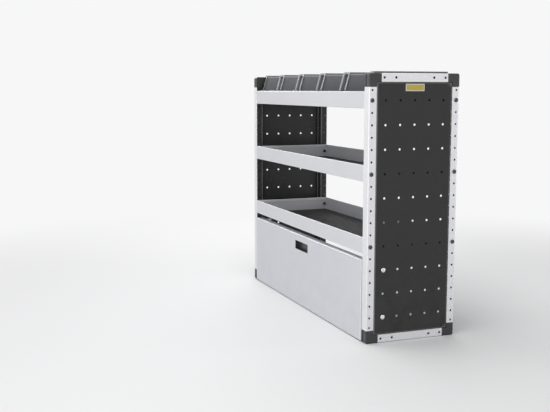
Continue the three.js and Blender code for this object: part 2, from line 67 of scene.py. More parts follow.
FRAME_BODY = "frame"
FLAP_BODY = "flap"
ENDS = {"right": 1, "left": -1}
DEPTHS = {"back": 1, "front": -1}
LEVELS = {"top": 1, "bottom": -1}
TRAYS = ("top", "middle", "lower")
SCREWS = ("lower", "upper")

Point2 = tuple[float, float]
Colour = tuple[float, float, float]
Rings = Sequence[Sequence[Vector]]
Station = tuple[float, float, float]
Number = Union["Level", float, int]


class Slot(Enum):
    """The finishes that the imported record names."""

    ALUMINIUM = "aluminium"
    BLACK_STEEL = "black_steel"
    CAP_PLASTIC = "cap_plastic"
    TRAY_PAINT = "tray_paint"
    FLAP_PAINT = "flap_paint"
    MAT_RUBBER = "mat_rubber"
    BIN_PLASTIC = "bin_plastic"
    BLACK_BOLT = "black_bolt"
    BRIGHT_STEEL = "bright_steel"
    ZINC_STEEL = "zinc_steel"
    LABEL_FILM = "label_film"


class Axis(Enum):
    """An axis of the frame."""

    X = 0
    Y = 1
    Z = 2


# Shader expressions


class Level:
    """A value that varies over a surface. Python's operators on it add Math nodes."""

    def __init__(self, graph: "Graph", socket: bpy.types.NodeSocket) -> None:
        """Wraps an output socket of one of the graph's nodes."""
        self.graph = graph
        self.socket = socket

    def maths(self, operation: str, *values: Number) -> "Level":
        """Adds a Math node with the values in its sockets and gives its result."""
        inputs = dict(enumerate(values))
        return self.graph.node("ShaderNodeMath", {"operation": operation}, inputs).out()

    def __add__(self, other: Number) -> "Level":
        """Gives self + other."""
        return self.maths("ADD", self, other)

    def __sub__(self, other: Number) -> "Level":
        """Gives self - other."""
        return self.maths("SUBTRACT", self, other)

    def __rsub__(self, other: Number) -> "Level":
        """Gives other - self."""
        return self.maths("SUBTRACT", other, self)

    def __mul__(self, other: Number) -> "Level":
        """Gives self * other."""
        return self.maths("MULTIPLY", self, other)

    def __abs__(self) -> "Level":
        """Gives the size of self without its sign."""
        return self.maths("ABSOLUTE", self)

    __radd__ = __add__
    __rmul__ = __mul__

    def ramp(self, low: float, high: float) -> "Level":
        """Rises smoothly from 0 to 1 between two levels, or falls if they are swapped.

        Args:
            low: The level that gives 0.
            high: The level that gives 1.

        Returns:
            The smooth step.
        """
        first, last = sorted((low, high))
        bottom, top = (0.0, 1.0) if low < high else (1.0, 0.0)
        inputs = {"Value": self, 1: first, 2: last, 3: bottom, 4: top}
        return self.graph.node("ShaderNodeMapRange", {"interpolation_type": "SMOOTHSTEP"}, inputs).out()


class NodeHandle:
    """One node of a graph, which hands out its results."""

    def __init__(self, graph: "Graph", node: bpy.types.Node) -> None:
        """Holds a node and its graph."""
        self.graph = graph
        self.node = node

    def out(self, name: Union[str, int] = 0) -> Level:
        """Gives one of the node's outputs as a level."""
        return Level(self.graph, self.node.outputs[name])


class Graph:
    """The node tree of a material or of the world."""

    def __init__(self, owner: Union[bpy.types.Material, bpy.types.World]) -> None:
        """Empties the tree.

        Args:
            owner: The material or the world that the tree belongs to.
        """
        owner.use_nodes = True
        self.owner = owner
        self.tree = owner.node_tree
        self.tree.nodes.clear()
        self._here: Optional[Level] = None

    @classmethod
    def material(cls, name: str) -> "Graph":
        """Starts a new material."""
        return cls(bpy.data.materials.new(name))

    def node(
        self,
        kind: str,
        settings: Optional[dict[str, Any]] = None,
        inputs: Optional[dict[Union[str, int], Any]] = None,
    ) -> NodeHandle:
        """Adds a node of any type.

        Args:
            kind: The node's type.
            settings: Its own settings, which are set before its sockets.
            inputs: A number, a colour or a level for each socket, by name or by index.

        Returns:
            The node in its handle.
        """
        made = self.tree.nodes.new(kind)
        for key, value in (settings or {}).items():
            setattr(made, key, value)
        for key, value in (inputs or {}).items():
            if isinstance(value, Level):
                self.tree.links.new(value.socket, made.inputs[key])
            else:
                made.inputs[key].default_value = value
        return NodeHandle(self, made)

    def place(self, stretch: Sequence[float] = (1, 1, 1)) -> Level:
        """Gives the place on the piece itself, in metres, scaled on each axis.

        Args:
            stretch: The scale on X, Y and Z.

        Returns:
            A vector that moves with the piece.
        """
        if self._here is None:
            self._here = self.node("ShaderNodeTexCoord").out("Object")
        inputs = {0: self._here, 1: tuple(stretch)}
        return self.node("ShaderNodeVectorMath", {"operation": "MULTIPLY"}, inputs).out()

    def axes(self) -> tuple[Level, Level, Level]:
        """Gives the place on the piece as three levels."""
        parts = self.node("ShaderNodeSeparateXYZ", inputs={0: self.place()})
        return parts.out("X"), parts.out("Y"), parts.out("Z")

    def share(self, layer: str) -> Level:
        """Gives a layer of shares that the meshes carry, 0 on meshes without it."""
        return self.node("ShaderNodeAttribute", {"attribute_name": layer}).out("Fac")

    def noise(self, size: float, detail: float = 2.0, stretch: Sequence[float] = (1, 1, 1)) -> Level:
        """Gives soft noise from 0 to 1 by the width of a blotch, its finer layers and its stretch."""
        inputs = {"Vector": self.place(stretch), "Scale": 1 / size, "Detail": detail}
        return self.node("ShaderNodeTexNoise", inputs=inputs).out("Fac")

    def cells(self, size: float) -> Level:
        """Gives a random level for each grain of a crystal pattern, by the width of a grain."""
        cells = self.node("ShaderNodeTexVoronoi", inputs={"Vector": self.place(), "Scale": 1 / size})
        return self.node("ShaderNodeSeparateColor", inputs={0: cells.out("Color")}).out()

    def blend(self, share: Number, first: Any, second: Any) -> Level:
        """Mixes two colours, numbers or levels, by how much of the second one shows."""
        inputs = {0: share, 6: opaque(first), 7: opaque(second)}
        return self.node("ShaderNodeMix", {"data_type": "RGBA", "clamp_factor": True}, inputs).out(2)

    def relief(self, height: Level, depth: float, strength: float) -> Level:
        """Bumps the normal by a height from 0 to 1, how far 1 stands out and how much shows."""
        inputs = {"Height": height, "Distance": depth, "Strength": strength}
        return self.node("ShaderNodeBump", inputs=inputs).out("Normal")

    def watched(self) -> Level:
        """Tells which rays show the backdrop.

        Returns:
            1 for rays of the camera and in gloss or glass, 0 for those that only bring light.
        """
        rays = self.node("ShaderNodeLightPath")
        glossy = rays.out("Is Glossy Ray")
        shiny = glossy.maths("MAXIMUM", glossy, rays.out("Is Transmission Ray"))
        return shiny.maths("MAXIMUM", rays.out("Is Camera Ray"), shiny)

    def finish(
        self, base: Level, rough: Level, normal: Level, others: Optional[dict[str, float]] = None
    ) -> bpy.types.Material:
        """Ends the graph in one surface shader.

        Args:
            base: The base colour.
            rough: The roughness.
            normal: The bumped normal.
            others: Numbers for other sockets of the shader.

        Returns:
            The finished material.
        """
        inputs = {"Base Color": base, "Roughness": rough, "Normal": normal, **(others or {})}
        shader = self.node("ShaderNodeBsdfPrincipled", inputs=inputs)
        self.node("ShaderNodeOutputMaterial", inputs={"Surface": shader.out("BSDF")})
        return self.owner


def opaque(colour: Any) -> Any:
    """Adds the alpha that a colour socket wants, where the colour is given as three numbers."""
    return (*colour, 1.0) if isinstance(colour, tuple) and len(colour) == 3 else colour


def shade(colour: Colour, factor: float) -> Colour:
    """Gives a colour darker or lighter by a factor."""
    return tuple(min(1.0, part * factor) for part in colour)


# Finishes


@dataclass(frozen=True)
class Finish:
    """A finish of the unit, told apart by its slot in the record."""

    slot: Slot
    colour: Colour
    roughness: float

    def material(self) -> bpy.types.Material:
        """Makes the material. Each kind of finish has its own."""
        raise NotImplementedError


@dataclass(frozen=True)
class ExtrudedAluminium(Finish):
    """Satin anodised angle: draw lines along its length, a fine grain and faint handling marks."""

    length: Axis = Axis.Z
    line_stretch: float = 0.012
    metallic: float = 0.6

    def material(self) -> bpy.types.Material:
        """Makes the metal with its draw lines.

        Returns:
            The material.
        """
        graph = Graph.material(f"extruded_aluminium_{self.length.name.lower()}")
        drawn = [self.line_stretch if axis is self.length else 1.0 for axis in Axis]
        lines = graph.noise(0.9 * MM, 3, drawn)
        bands = graph.noise(7 * MM, 2, drawn)
        grain = graph.noise(2.2 * MM, 4)
        speckle = graph.noise(6 * MM, 3)
        # Handling marks: wear only, the aluminium gets no painted highlight.
        wear_and_bend_highlight = graph.noise(90 * MM, 4).ramp(0.52, 0.72)
        tone = (lines - 0.5) * 0.15 + (bands - 0.5) * 0.12 + (speckle - 0.5) * 0.70
        base = graph.blend(tone + 0.5, shade(self.colour, 0.86), shade(self.colour, 1.12))
        base = graph.blend(wear_and_bend_highlight * 0.25, base, shade(self.colour, 0.84))
        rough = tone * 0.5 + wear_and_bend_highlight * 0.10 + self.roughness
        normal = graph.relief(lines * 0.6 + grain * 0.4, 0.03 * MM, 0.6)
        return graph.finish(base, rough, normal, {"Metallic": self.metallic})


@dataclass(frozen=True)
class PowderCoat(Finish):
    """Powder coated steel: orange peel, clouds, rubbed marks, a painted highlight along the bends, and dust
    low down.
    """

    # bend is the colour of a painted highlight along the bends, standing in for the light that glossy bends
    # catch; bend_share is how much of it shows.
    bend: Colour = (0.80, 0.80, 0.82)
    bend_share: float = 0.8
    mark: Colour = (0.42, 0.42, 0.44)
    mark_share: float = 0.16
    dust: Colour = (0.30, 0.28, 0.25)
    dust_share: float = 0.0
    peel_depth: float = 0.05 * MM
    specular: float = 0.5

    def material(self) -> bpy.types.Material:
        """Makes the paint with its texture, marks, painted bend highlight and dust.

        Returns:
            The material.
        """
        graph = Graph.material(f"powder_coat_{self.slot.value}")
        height = graph.axes()[2]
        peel = graph.noise(1.6 * MM, 3)
        fleck = graph.noise(4.5 * MM, 2)
        clouds = graph.noise(160 * MM, 3)
        streaks = graph.noise(16 * MM, 5, (0.16, 0.16, 1.3))
        scuffs = streaks.ramp(0.62, 0.76) * graph.noise(220 * MM, 2).ramp(0.45, 0.65)
        dust = height.ramp(0.45, 0.0) * graph.noise(60 * MM, 4).ramp(0.35, 0.75)
        # Painted highlight: the bends are lightened in the base colour, as if they caught the light.
        wear_and_bend_highlight = graph.share(BEND_LAYER)
        tone = (clouds - 0.5) * 0.5 + (fleck - 0.5) * 0.35 + 0.5
        base = graph.blend(tone, shade(self.colour, 0.93), shade(self.colour, 1.07))
        base = graph.blend(wear_and_bend_highlight * self.bend_share, base, self.bend)
        base = graph.blend(scuffs * self.mark_share, base, self.mark)
        base = graph.blend(dust * self.dust_share, base, self.dust)
        rough = (clouds - 0.5) * 0.10 + (peel - 0.5) * 0.06 + scuffs * 0.12 + dust * 0.15
        rough = rough + self.roughness - wear_and_bend_highlight * 0.08
        normal = graph.relief(peel, self.peel_depth, 0.5)
        return graph.finish(base, rough, normal, {"Specular IOR Level": self.specular})


@dataclass(frozen=True)
class MouldedPlastic(Finish):
    """Moulded plastic: a fine spark grain, flow clouds and paler rub marks."""

    grain: float = 0.8 * MM
    grain_depth: float = 0.05 * MM

    def material(self) -> bpy.types.Material:
        """Makes the plastic with its grain.

        Returns:
            The material.
        """
        graph = Graph.material(f"moulded_plastic_{self.slot.value}")
        spark = graph.noise(self.grain, 2)
        fleck = graph.noise(5 * MM, 3)
        flow = graph.noise(70 * MM, 3, (1, 1, 0.5))
        rubs = graph.noise(12 * MM, 5, (0.3, 1, 1)).ramp(0.60, 0.78)
        tone = (flow - 0.5) * 0.7 + (fleck - 0.5) * 0.6 + 0.5
        base = graph.blend(tone, shade(self.colour, 0.85), shade(self.colour, 1.15))
        base = graph.blend(rubs * 0.16, base, shade(self.colour, 2.2))
        rough = (flow - 0.5) * 0.12 + (spark - 0.5) * 0.08 - rubs * 0.06 + self.roughness
        return graph.finish(base, rough, graph.relief(spark, self.grain_depth, 0.55))


@dataclass(frozen=True)
class RibbedRubber(Finish):
    """Matt rubber matting with a chalky bloom and trodden in dust."""

    dust: Colour = (0.26, 0.25, 0.23)

    def material(self) -> bpy.types.Material:
        """Makes the rubber.

        Returns:
            The material.
        """
        graph = Graph.material("ribbed_rubber")
        bloom = graph.noise(40 * MM, 4)
        crumbs = graph.noise(2.5 * MM, 4)
        dust = graph.noise(9 * MM, 5).ramp(0.58, 0.80) * graph.noise(150 * MM, 2).ramp(0.35, 0.70)
        base = graph.blend(bloom, shade(self.colour, 0.75), shade(self.colour, 1.3))
        base = graph.blend(dust * 0.22, base, self.dust)
        rough = (crumbs - 0.5) * 0.12 + self.roughness
        return graph.finish(base, rough, graph.relief(crumbs, 0.12 * MM, 0.5))


@dataclass(frozen=True)
class TurnedSteel(Finish):
    """Plain, zinc plated or blackened steel of the fasteners, hinge and brackets."""

    grain_size: float = 5 * MM
    metallic: float = 1.0

    def material(self) -> bpy.types.Material:
        """Makes the metal with its plating grains and a few scratches.

        Returns:
            The material.
        """
        graph = Graph.material(f"turned_steel_{self.slot.value}")
        grains = graph.cells(self.grain_size)
        fine = graph.noise(0.7 * MM, 3)
        scratches = graph.noise(3 * MM, 4, (1, 0.08, 1)).ramp(0.62, 0.70)
        base = graph.blend(grains, shade(self.colour, 0.86), shade(self.colour, 1.1))
        base = graph.blend(scratches * 0.3, base, shade(self.colour, 1.4))
        rough = (grains - 0.5) * 0.12 + (fine - 0.5) * 0.08 + self.roughness
        return graph.finish(base, rough, graph.relief(fine, 0.015 * MM, 0.6), {"Metallic": self.metallic})


@dataclass(frozen=True)
class LabelFilm(Finish):
    """A blank film label: a pale border round a plain coloured field."""

    centre: Point2 = (0.0, 0.0)
    half_size: Point2 = (0.0, 0.0)
    border: float = 2.5 * MM
    border_edge: float = 0.4 * MM
    border_colour: Colour = (0.72, 0.71, 0.66)

    def material(self) -> bpy.types.Material:
        """Makes the film with its plain border.

        Returns:
            The material.
        """
        graph = Graph.material("label_film")
        inside = []
        for level, centre, half in zip(graph.axes()[1:], self.centre, self.half_size):
            inset = half - self.border
            inside.append(abs(level - centre).ramp(inset, inset - self.border_edge))
        mottle = graph.noise(14 * MM, 4)
        plain = graph.blend(mottle, shade(self.colour, 0.90), shade(self.colour, 1.1))
        base = graph.blend(inside[0] * inside[1], self.border_colour, plain)
        rough = (mottle - 0.5) * 0.15 + self.roughness
        return graph.finish(base, rough, graph.relief(graph.noise(3 * MM, 2), 0.05 * MM, 0.4))


ALUMINIUM_POST = ExtrudedAluminium(Slot.ALUMINIUM, (0.78, 0.78, 0.80), 0.50, Axis.Z)
ALUMINIUM_BAR = ExtrudedAluminium(Slot.ALUMINIUM, (0.78, 0.78, 0.80), 0.50, Axis.Y)
BLACK_STEEL = PowderCoat(
    Slot.BLACK_STEEL,
    (0.030, 0.030, 0.0305),
    0.26,
    # bend: painted highlight along the folds of the black panels.
    bend=(0.17, 0.17, 0.17),
    mark=(0.06, 0.06, 0.06),
    mark_share=0.2,
    dust_share=0.03,
    peel_depth=0.02 * MM,
    specular=0.27,
)
# The tray paint takes the default painted highlight along its bends and hems.
TRAY_PAINT = PowderCoat(Slot.TRAY_PAINT, (0.622, 0.624, 0.648), 0.34)
FLAP_PAINT = PowderCoat(
    Slot.FLAP_PAINT,
    (0.59, 0.595, 0.635),
    0.30,
    # bend_share: how much of the painted bend highlight shows on the flap.
    bend_share=0.9,
    mark=(0.40, 0.40, 0.42),
    mark_share=0.12,
    dust_share=0.04,
)
CAP_PLASTIC = MouldedPlastic(Slot.CAP_PLASTIC, (0.034, 0.034, 0.034), 0.38, 0.9 * MM, 0.06 * MM)
BIN_PLASTIC = MouldedPlastic(Slot.BIN_PLASTIC, (0.205, 0.206, 0.218), 0.42, 0.7 * MM)
MAT_RUBBER = RibbedRubber(Slot.MAT_RUBBER, (0.056, 0.056, 0.058), 0.74)
BLACK_BOLT = TurnedSteel(Slot.BLACK_BOLT, (0.085, 0.085, 0.090), 0.25, 2 * MM, 0.8)
BRIGHT_STEEL = TurnedSteel(Slot.BRIGHT_STEEL, (0.74, 0.74, 0.75), 0.24, 3 * MM)
ZINC_STEEL = TurnedSteel(Slot.ZINC_STEEL, (0.58, 0.60, 0.62), 0.38, 7 * MM)


# Mesh making


@dataclass(frozen=True)
class Extent:
    """The box round a piece of the frame."""

    low: Vector
    high: Vector

    @classmethod
    def of(cls, node: str) -> "Extent":
        """Reads the box of one node of the frame."""
        low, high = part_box(node)
        return cls(low, high)

    @property
    def middle(self) -> Vector:
        """The box's centre."""
        return (self.low + self.high) / 2

    @property
    def size(self) -> Vector:
        """The box's length on each axis."""
        return self.high - self.low


@dataclass(frozen=True)
class Stretch:
    """One straight or one arc of a path."""

    start: float
    length: float
    origin: Vector
    heading: Vector
    curve: float = 0.0

    def point(self, distance: float) -> Vector:
        """Gives a point of the stretch.

        Args:
            distance: Its distance along the whole path.

        Returns:
            The point.
        """
        run = distance - self.start
        if self.curve == 0.0:
            return self.origin + self.heading * run
        turn = run * self.curve
        side = Vector((-self.heading.y, self.heading.x))
        return self.origin + (self.heading * math.sin(turn) + side * (1 - math.cos(turn))) / self.curve


class FoldPath:
    """The outer face of a sheet seen along its bends: straights joined by round bends."""

    def __init__(self, corners: Sequence[Sequence[float]], web: int = 0, arc_steps: int = 5) -> None:
        """Lays the straights and bends end to end.

        Args:
            corners: The corners as (place, depth) or (place, depth, bend radius).
            web: Which straight is the sheet's main face.
            arc_steps: How many faces a bend has.
        """
        points = [Vector(corner[:2]) for corner in corners]
        radii = [corner[2] if len(corner) > 2 else 0.0 for corner in corners]
        headings = [(after - here).normalized() for here, after in zip(points, points[1:])]
        turns = [0.0, *(signed_turn(*pair) for pair in zip(headings, headings[1:])), 0.0]
        self.arc_steps = arc_steps
        self.trims = [radius * math.tan(abs(turn) / 2) for radius, turn in zip(radii, turns)]
        self.straights: list[Stretch] = []
        self.stretches: list[Stretch] = []
        self.length = 0.0
        for index, heading in enumerate(headings):
            trim, next_trim = self.trims[index : index + 2]
            length = (points[index + 1] - points[index]).length - trim - next_trim
            self.straights.append(Stretch(self.length, length, points[index] + heading * trim, heading))
            self.stretches.append(self.straights[-1])
            self.length += length
            radius, turn = radii[index + 1], turns[index + 1]
            if radius > 0 and abs(turn) > 0:
                begin = points[index + 1] - heading * next_trim
                curve = math.copysign(1 / radius, turn)
                self.stretches.append(Stretch(self.length, radius * abs(turn), begin, heading, curve))
                self.length += radius * abs(turn)
        main = self.straights[web]
        self.web = (main.start, main.start + main.length)

    def at(self, straight: int, run: float) -> float:
        """Gives the distance of a point by its straight and how far it lies from the corner before."""
        return self.straights[straight].start + run - self.trims[straight]

    def span(self, first: int, last: int) -> Point2:
        """Gives the distances at which one straight starts and a later one ends."""
        return self.straights[first].start, self.straights[last].start + self.straights[last].length

    def point(self, distance: float) -> Vector:
        """Gives the point at a distance along the path."""
        reaching = (part for part in self.stretches if distance <= part.start + part.length + HAIR)
        return next(reaching, self.stretches[-1]).point(distance)

    def breaks(self) -> list[float]:
        """Gives the distances at which the sheet needs an edge.

        Returns:
            The ends of each stretch, and the steps of each bend.
        """
        found = [0.0, self.length]
        for stretch in self.stretches:
            steps = self.arc_steps if stretch.curve else 1
            found += [stretch.start + stretch.length * step / steps for step in range(steps + 1)]
        return found

    def points(self) -> list[Vector]:
        """Gives the path's points in order, with the bends in steps."""
        return [self.point(distance) for distance in merged(self.breaks())]

    def bend_share(self, distance: float) -> float:
        """Tells how far a place is in a bend.

        Args:
            distance: Its distance along the path.

        Returns:
            1 inside a bend or where two meet, else 0.
        """
        touching = 0
        for stretch in self.stretches:
            run = distance - stretch.start
            if stretch.curve and -SLACK < run < stretch.length + SLACK:
                touching += 1
                if SLACK < run < stretch.length - SLACK:
                    return 1.0
        return 1.0 if touching > 1 else 0.0

    def in_web(self, distance: float) -> bool:
        """Tells whether a distance lies on the main face."""
        return self.web[0] < distance < self.web[1]

    def reach(self, count: int) -> float:
        """Gives the length of the first few stretches after the main face."""
        after = [stretch for stretch in self.stretches if stretch.start >= self.web[1] - HAIR]
        return sum(stretch.length for stretch in after[:count])


def signed_turn(before: Vector, after: Vector) -> float:
    """Gives the turn from one heading to the next, positive to the left."""
    return math.atan2(before.x * after.y - before.y * after.x, before.dot(after))


def merged(values: Iterable[float]) -> list[float]:
    """Sorts values and drops repeats.

    Args:
        values: The values.

    Returns:
        Each value once, from the least up.
    """
    kept: list[float] = []
    for value in sorted(values):
        if not kept or value - kept[-1] > SLACK:
            kept.append(value)
    return kept


def rounded_ring(half: Point2, radius: float, corner_steps: int) -> list[Point2]:
    """Gives a rectangle with round corners, anticlockwise from its first corner.

    Args:
        half: Half its width and half its height.
        radius: The radius of its corners.
        corner_steps: How many edges a corner has.

    Returns:
        Its points.
    """
    points = []
    for corner, (side_u, side_v) in enumerate(((1, 1), (-1, 1), (-1, -1), (1, -1))):
        centre = (side_u * (half[0] - radius), side_v * (half[1] - radius))
        for step in range(corner_steps + 1):
            angle = QUARTER * (corner + step / corner_steps)
            points.append((centre[0] + radius * math.cos(angle), centre[1] + radius * math.sin(angle)))
    return points


@dataclass(frozen=True)
class Opening:
    """A hole in a flat stretch of a sheet, inside a rectangle of its own.

    Attributes:
        across: Its centre's distance along the path across the sheet.
        along: Its centre's distance along the other path.
        outline: Its points, from the rectangle's first corner anticlockwise.
        reach: Half the rectangle's width and half its height.
    """

    across: float
    along: float
    outline: tuple[Point2, ...]
    reach: Point2

    @classmethod
    def round(cls, across: float, along: float, diameter: float, margin: float = 3 * MM) -> "Opening":
        """Makes a round hole.

        Args:
            across: Its distance across the sheet.
            along: Its distance along it.
            diameter: The hole's diameter.
            margin: How far its rectangle reaches past it.

        Returns:
            The hole.
        """
        sides = 24
        angles = [QUARTER / 2 + 2 * math.pi * step / sides for step in range(sides)]
        radius = diameter / 2
        outline = tuple((radius * math.cos(angle), radius * math.sin(angle)) for angle in angles)
        return cls(across, along, outline, (radius + margin, radius + margin))

    @classmethod
    def slot(cls, across: float, along: float, size: Point2, radius: float) -> "Opening":
        """Makes a rectangular hole with round corners.

        Args:
            across: Its distance across the sheet.
            along: Its distance along it.
            size: Its width and height.
            radius: The radius of its corners.

        Returns:
            The hole.
        """
        steps = 6
        margin = 3 * MM
        half = (size[0] / 2, size[1] / 2)
        ring = rounded_ring(half, radius, steps)
        middle = steps // 2
        return cls(across, along, (*ring[middle:], *ring[:middle]), (half[0] + margin, half[1] + margin))

    def holds(self, across: float, along: float) -> bool:
        """Tells whether a place lies in the hole's rectangle."""
        return abs(across - self.across) < self.reach[0] and abs(along - self.along) < self.reach[1]


@dataclass(frozen=True)
class Area:
    """A rectangle of a sheet, in distances along its two paths."""

    across: Point2 = (-math.inf, math.inf)
    along: Point2 = (-math.inf, math.inf)

    def holds(self, across: float, along: float) -> bool:
        """Tells whether a place lies in the rectangle."""
        return self.across[0] < across < self.across[1] and self.along[0] < along < self.along[1]


@dataclass(frozen=True)
class Plane:
    """The axes of the frame that a sheet's two paths and its depth run along."""

    across: Axis
    along: Axis
    depth: Axis
    base: float = 0.0

    def point(self, across: float, along: float, depth: float) -> Vector:
        """Gives a point of the frame."""
        parts = {self.across: across, self.along: along, self.depth: self.base + depth}
        return Vector([parts[axis] for axis in Axis])


@dataclass
class FoldedSheet:
    """A sheet folded along one or both ways, with its holes.

    Attributes:
        across: Its path one way.
        along: Its path the other way.
        plane: How the paths lie in the frame.
        openings: Its holes.
        areas: The areas that have material.
        across_breaks: Where it needs more edges across.
        along_breaks: Where it needs more edges along.
        corner_reach: How far past the main face its corners are closed.
        corner_steps: How many faces a closed corner has.
    """

    across: FoldPath
    along: FoldPath
    plane: Plane
    openings: Sequence[Opening] = ()
    areas: Sequence[Area] = (Area(),)
    across_breaks: Sequence[float] = ()
    along_breaks: Sequence[float] = ()
    corner_reach: float = 0.0
    corner_steps: int = 4

    def __post_init__(self) -> None:
        """Starts the draft."""
        self._draft = bmesh.new()
        self._layer = self._draft.verts.layers.float.new(BEND_LAYER)
        self._corners: dict[Point2, bmesh.types.BMVert] = {}

    def draft(self, inside: Vector) -> bmesh.types.BMesh:
        """Makes the outer face of the sheet.

        Args:
            inside: A point that the outer face looks away from.

        Returns:
            The open draft, with its normals outwards.
        """
        columns = [*self.across.breaks(), *self.across_breaks]
        rows = [*self.along.breaks(), *self.along_breaks]
        for opening in self.openings:
            columns += [opening.across - opening.reach[0], opening.across + opening.reach[0]]
            rows += [opening.along - opening.reach[1], opening.along + opening.reach[1]]
        past = self._past_web(columns, rows) if self.corner_reach else []
        for path, breaks in ((self.across, columns), (self.along, rows)):
            breaks += [path.web[0] - run for run in past] + [path.web[1] + run for run in past]
        columns, rows = merged(columns), merged(rows)
        for low_u, high_u in zip(columns, columns[1:]):
            for low_v, high_v in zip(rows, rows[1:]):
                self._cell([(high_u, high_v), (low_u, high_v), (low_u, low_v), (high_u, low_v)])
        if past:
            self._close_corners(past)
        faces = self._draft.faces
        self._draft.normal_update()
        if sum(part.calc_area() * part.normal.dot(part.calc_center_median() - inside) for part in faces) < 0:
            bmesh.ops.reverse_faces(self._draft, faces=faces)
        return self._draft

    def _cell(self, spots: Sequence[Point2]) -> None:
        """Adds one cell of the grid: a face, or four faces round the hole in it.

        Args:
            spots: The distances of its corners, anticlockwise from the farthest one.
        """
        middle = ((spots[0][0] + spots[2][0]) / 2, (spots[0][1] + spots[2][1]) / 2)
        on_web = self.across.in_web(middle[0]) or self.along.in_web(middle[1])
        if not on_web or not any(area.holds(*middle) for area in self.areas):
            return
        corners = [self._corner(spot) for spot in spots]
        opening = next((hole for hole in self.openings if hole.holds(*middle)), None)
        if opening is None:
            self._draft.faces.new(corners)
            return
        places = [self._place(opening.across + u, opening.along + v) for u, v in opening.outline]
        ring = [self._draft.verts.new(place) for place in places]
        quarter = len(ring) // 4
        for side in range(4):
            arc = [ring[(side * quarter + step) % len(ring)] for step in range(quarter + 1)]
            self._draft.faces.new([corners[side], corners[(side + 1) % 4], *reversed(arc)])

    def _place(self, across: float, along: float) -> Vector:
        """Gives the point of the frame at two distances."""
        first, second = self.across.point(across), self.along.point(along)
        return self.plane.point(first.x, second.x, first.y + second.y)

    def _corner(self, spot: Point2) -> bmesh.types.BMVert:
        """Gives a corner of the grid, which is made once.

        Args:
            spot: Its distances.

        Returns:
            The corner.
        """
        if spot not in self._corners:
            share = max(self.across.bend_share(spot[0]), self.along.bend_share(spot[1]))
            self._corners[spot] = self._vertex(self._place(*spot), share)
        return self._corners[spot]

    def _vertex(self, place: Vector, share: float) -> bmesh.types.BMVert:
        """Adds a vertex.

        Args:
            place: Where it lies.
            share: How far that is in a bend.

        Returns:
            The vertex.
        """
        made = self._draft.verts.new(place)
        made[self._layer] = share
        return made

    def _past_web(self, columns: Sequence[float], rows: Sequence[float]) -> list[float]:
        """Gives the breaks that the four closed corners share.

        Args:
            columns: The breaks across the sheet.
            rows: The breaks along it.

        Returns:
            Their distances past the main face.
        """
        past = [0.0]
        for path, breaks in ((self.across, columns), (self.along, rows)):
            runs = [path.web[0] - value for value in breaks] + [value - path.web[1] for value in breaks]
            past += [run for run in runs if 0 < run <= self.corner_reach + SLACK]
        return merged(past)

    def _close_corners(self, past: Sequence[float]) -> None:
        """Rounds the sheet's raised sides into each other at the four corners of the main face.

        Args:
            past: The breaks there, as distances past the main face.
        """
        edge = self.across.web[1]
        profile = []
        for distance in [edge + run for run in past]:
            point = self.across.point(distance)
            reach = abs(point.x - self.across.point(edge).x)
            profile.append((reach, point.y, self.across.bend_share(distance)))
        for side_u, side_v in product((0, 1), repeat=2):
            centre_u = self.across.point(self.across.web[side_u]).x
            centre_v = self.along.point(self.along.web[side_v]).x
            rings = []
            for step in range(self.corner_steps + 1):
                angle = QUARTER * step / self.corner_steps
                u, v = (2 * side_u - 1) * math.cos(angle), (2 * side_v - 1) * math.sin(angle)
                ring = []
                for reach, depth, share in profile:
                    place = self.plane.point(centre_u + u * reach, centre_v + v * reach, depth)
                    ring.append(self._vertex(place, 1.0 if 0 < step < self.corner_steps else share))
                rings.append(ring)
            for near, far in zip(rings, rings[1:]):
                for index in range(len(profile) - 1):
                    quad = [near[index], near[index + 1], far[index + 1], far[index]]
                    self._draft.faces.new(quad if side_u == side_v else quad[::-1])
        bmesh.ops.remove_doubles(self._draft, verts=self._draft.verts, dist=WELD)


def loft(*shells: Rings) -> bmesh.types.BMesh:
    """Joins the rings of each shell into a closed body.

    Args:
        *shells: The rings of each, in order and of as many points each. The first and the last
            ring are closed with a face.

    Returns:
        The closed draft, with its normals outwards.
    """
    draft = bmesh.new()
    for rings in shells:
        rows = [[draft.verts.new(point) for point in ring] for ring in rings]
        for near, far in zip(rows, rows[1:]):
            for index, here in enumerate(near):
                after = (index + 1) % len(near)
                draft.faces.new([here, near[after], far[after], far[index]])
        draft.faces.new(rows[0])
        draft.faces.new(rows[-1])
    bmesh.ops.recalc_face_normals(draft, faces=draft.faces)
    return draft


def turned(stations: Iterable[Sequence[float]], centre: Point2, sides: int) -> Rings:
    """Gives the rings of a body that is turned about an axis along X.

    Args:
        stations: Its places and radii, each with a share from 0, a circle, to 1, the hexagon
            round it, where that isn't 0.
        centre: The axis in Y and Z.
        sides: How many points a ring has.

    Returns:
        The rings.
    """
    rings = []
    for x, radius, *shares in stations:
        ring = []
        for angle in [2 * math.pi * index / sides for index in range(sides)]:
            flats = 1 / math.cos(angle % (math.pi / 3) - math.pi / 6)
            size = radius * (1 + sum(shares) * (flats - 1))
            ring.append(Vector((x, centre[0] + size * math.cos(angle), centre[1] + size * math.sin(angle))))
        rings.append(ring)
    return rings


@dataclass(frozen=True)
class Trim:
    """What a mesh gets once its main shape stands.

    Attributes:
        fold_radius: The radius of the bends that a bevel makes before the sheet gets its thickness.
        thickness: The sheet's thickness, laid on inwards.
        edge: The width of the rounding on a sheet's rim, or on a solid's sharp edges.
        edge_steps: How many faces that rounding has.
    """

    fold_radius: float = 0.0
    thickness: float = 0.0
    edge: float = 0.0
    edge_steps: int = 2


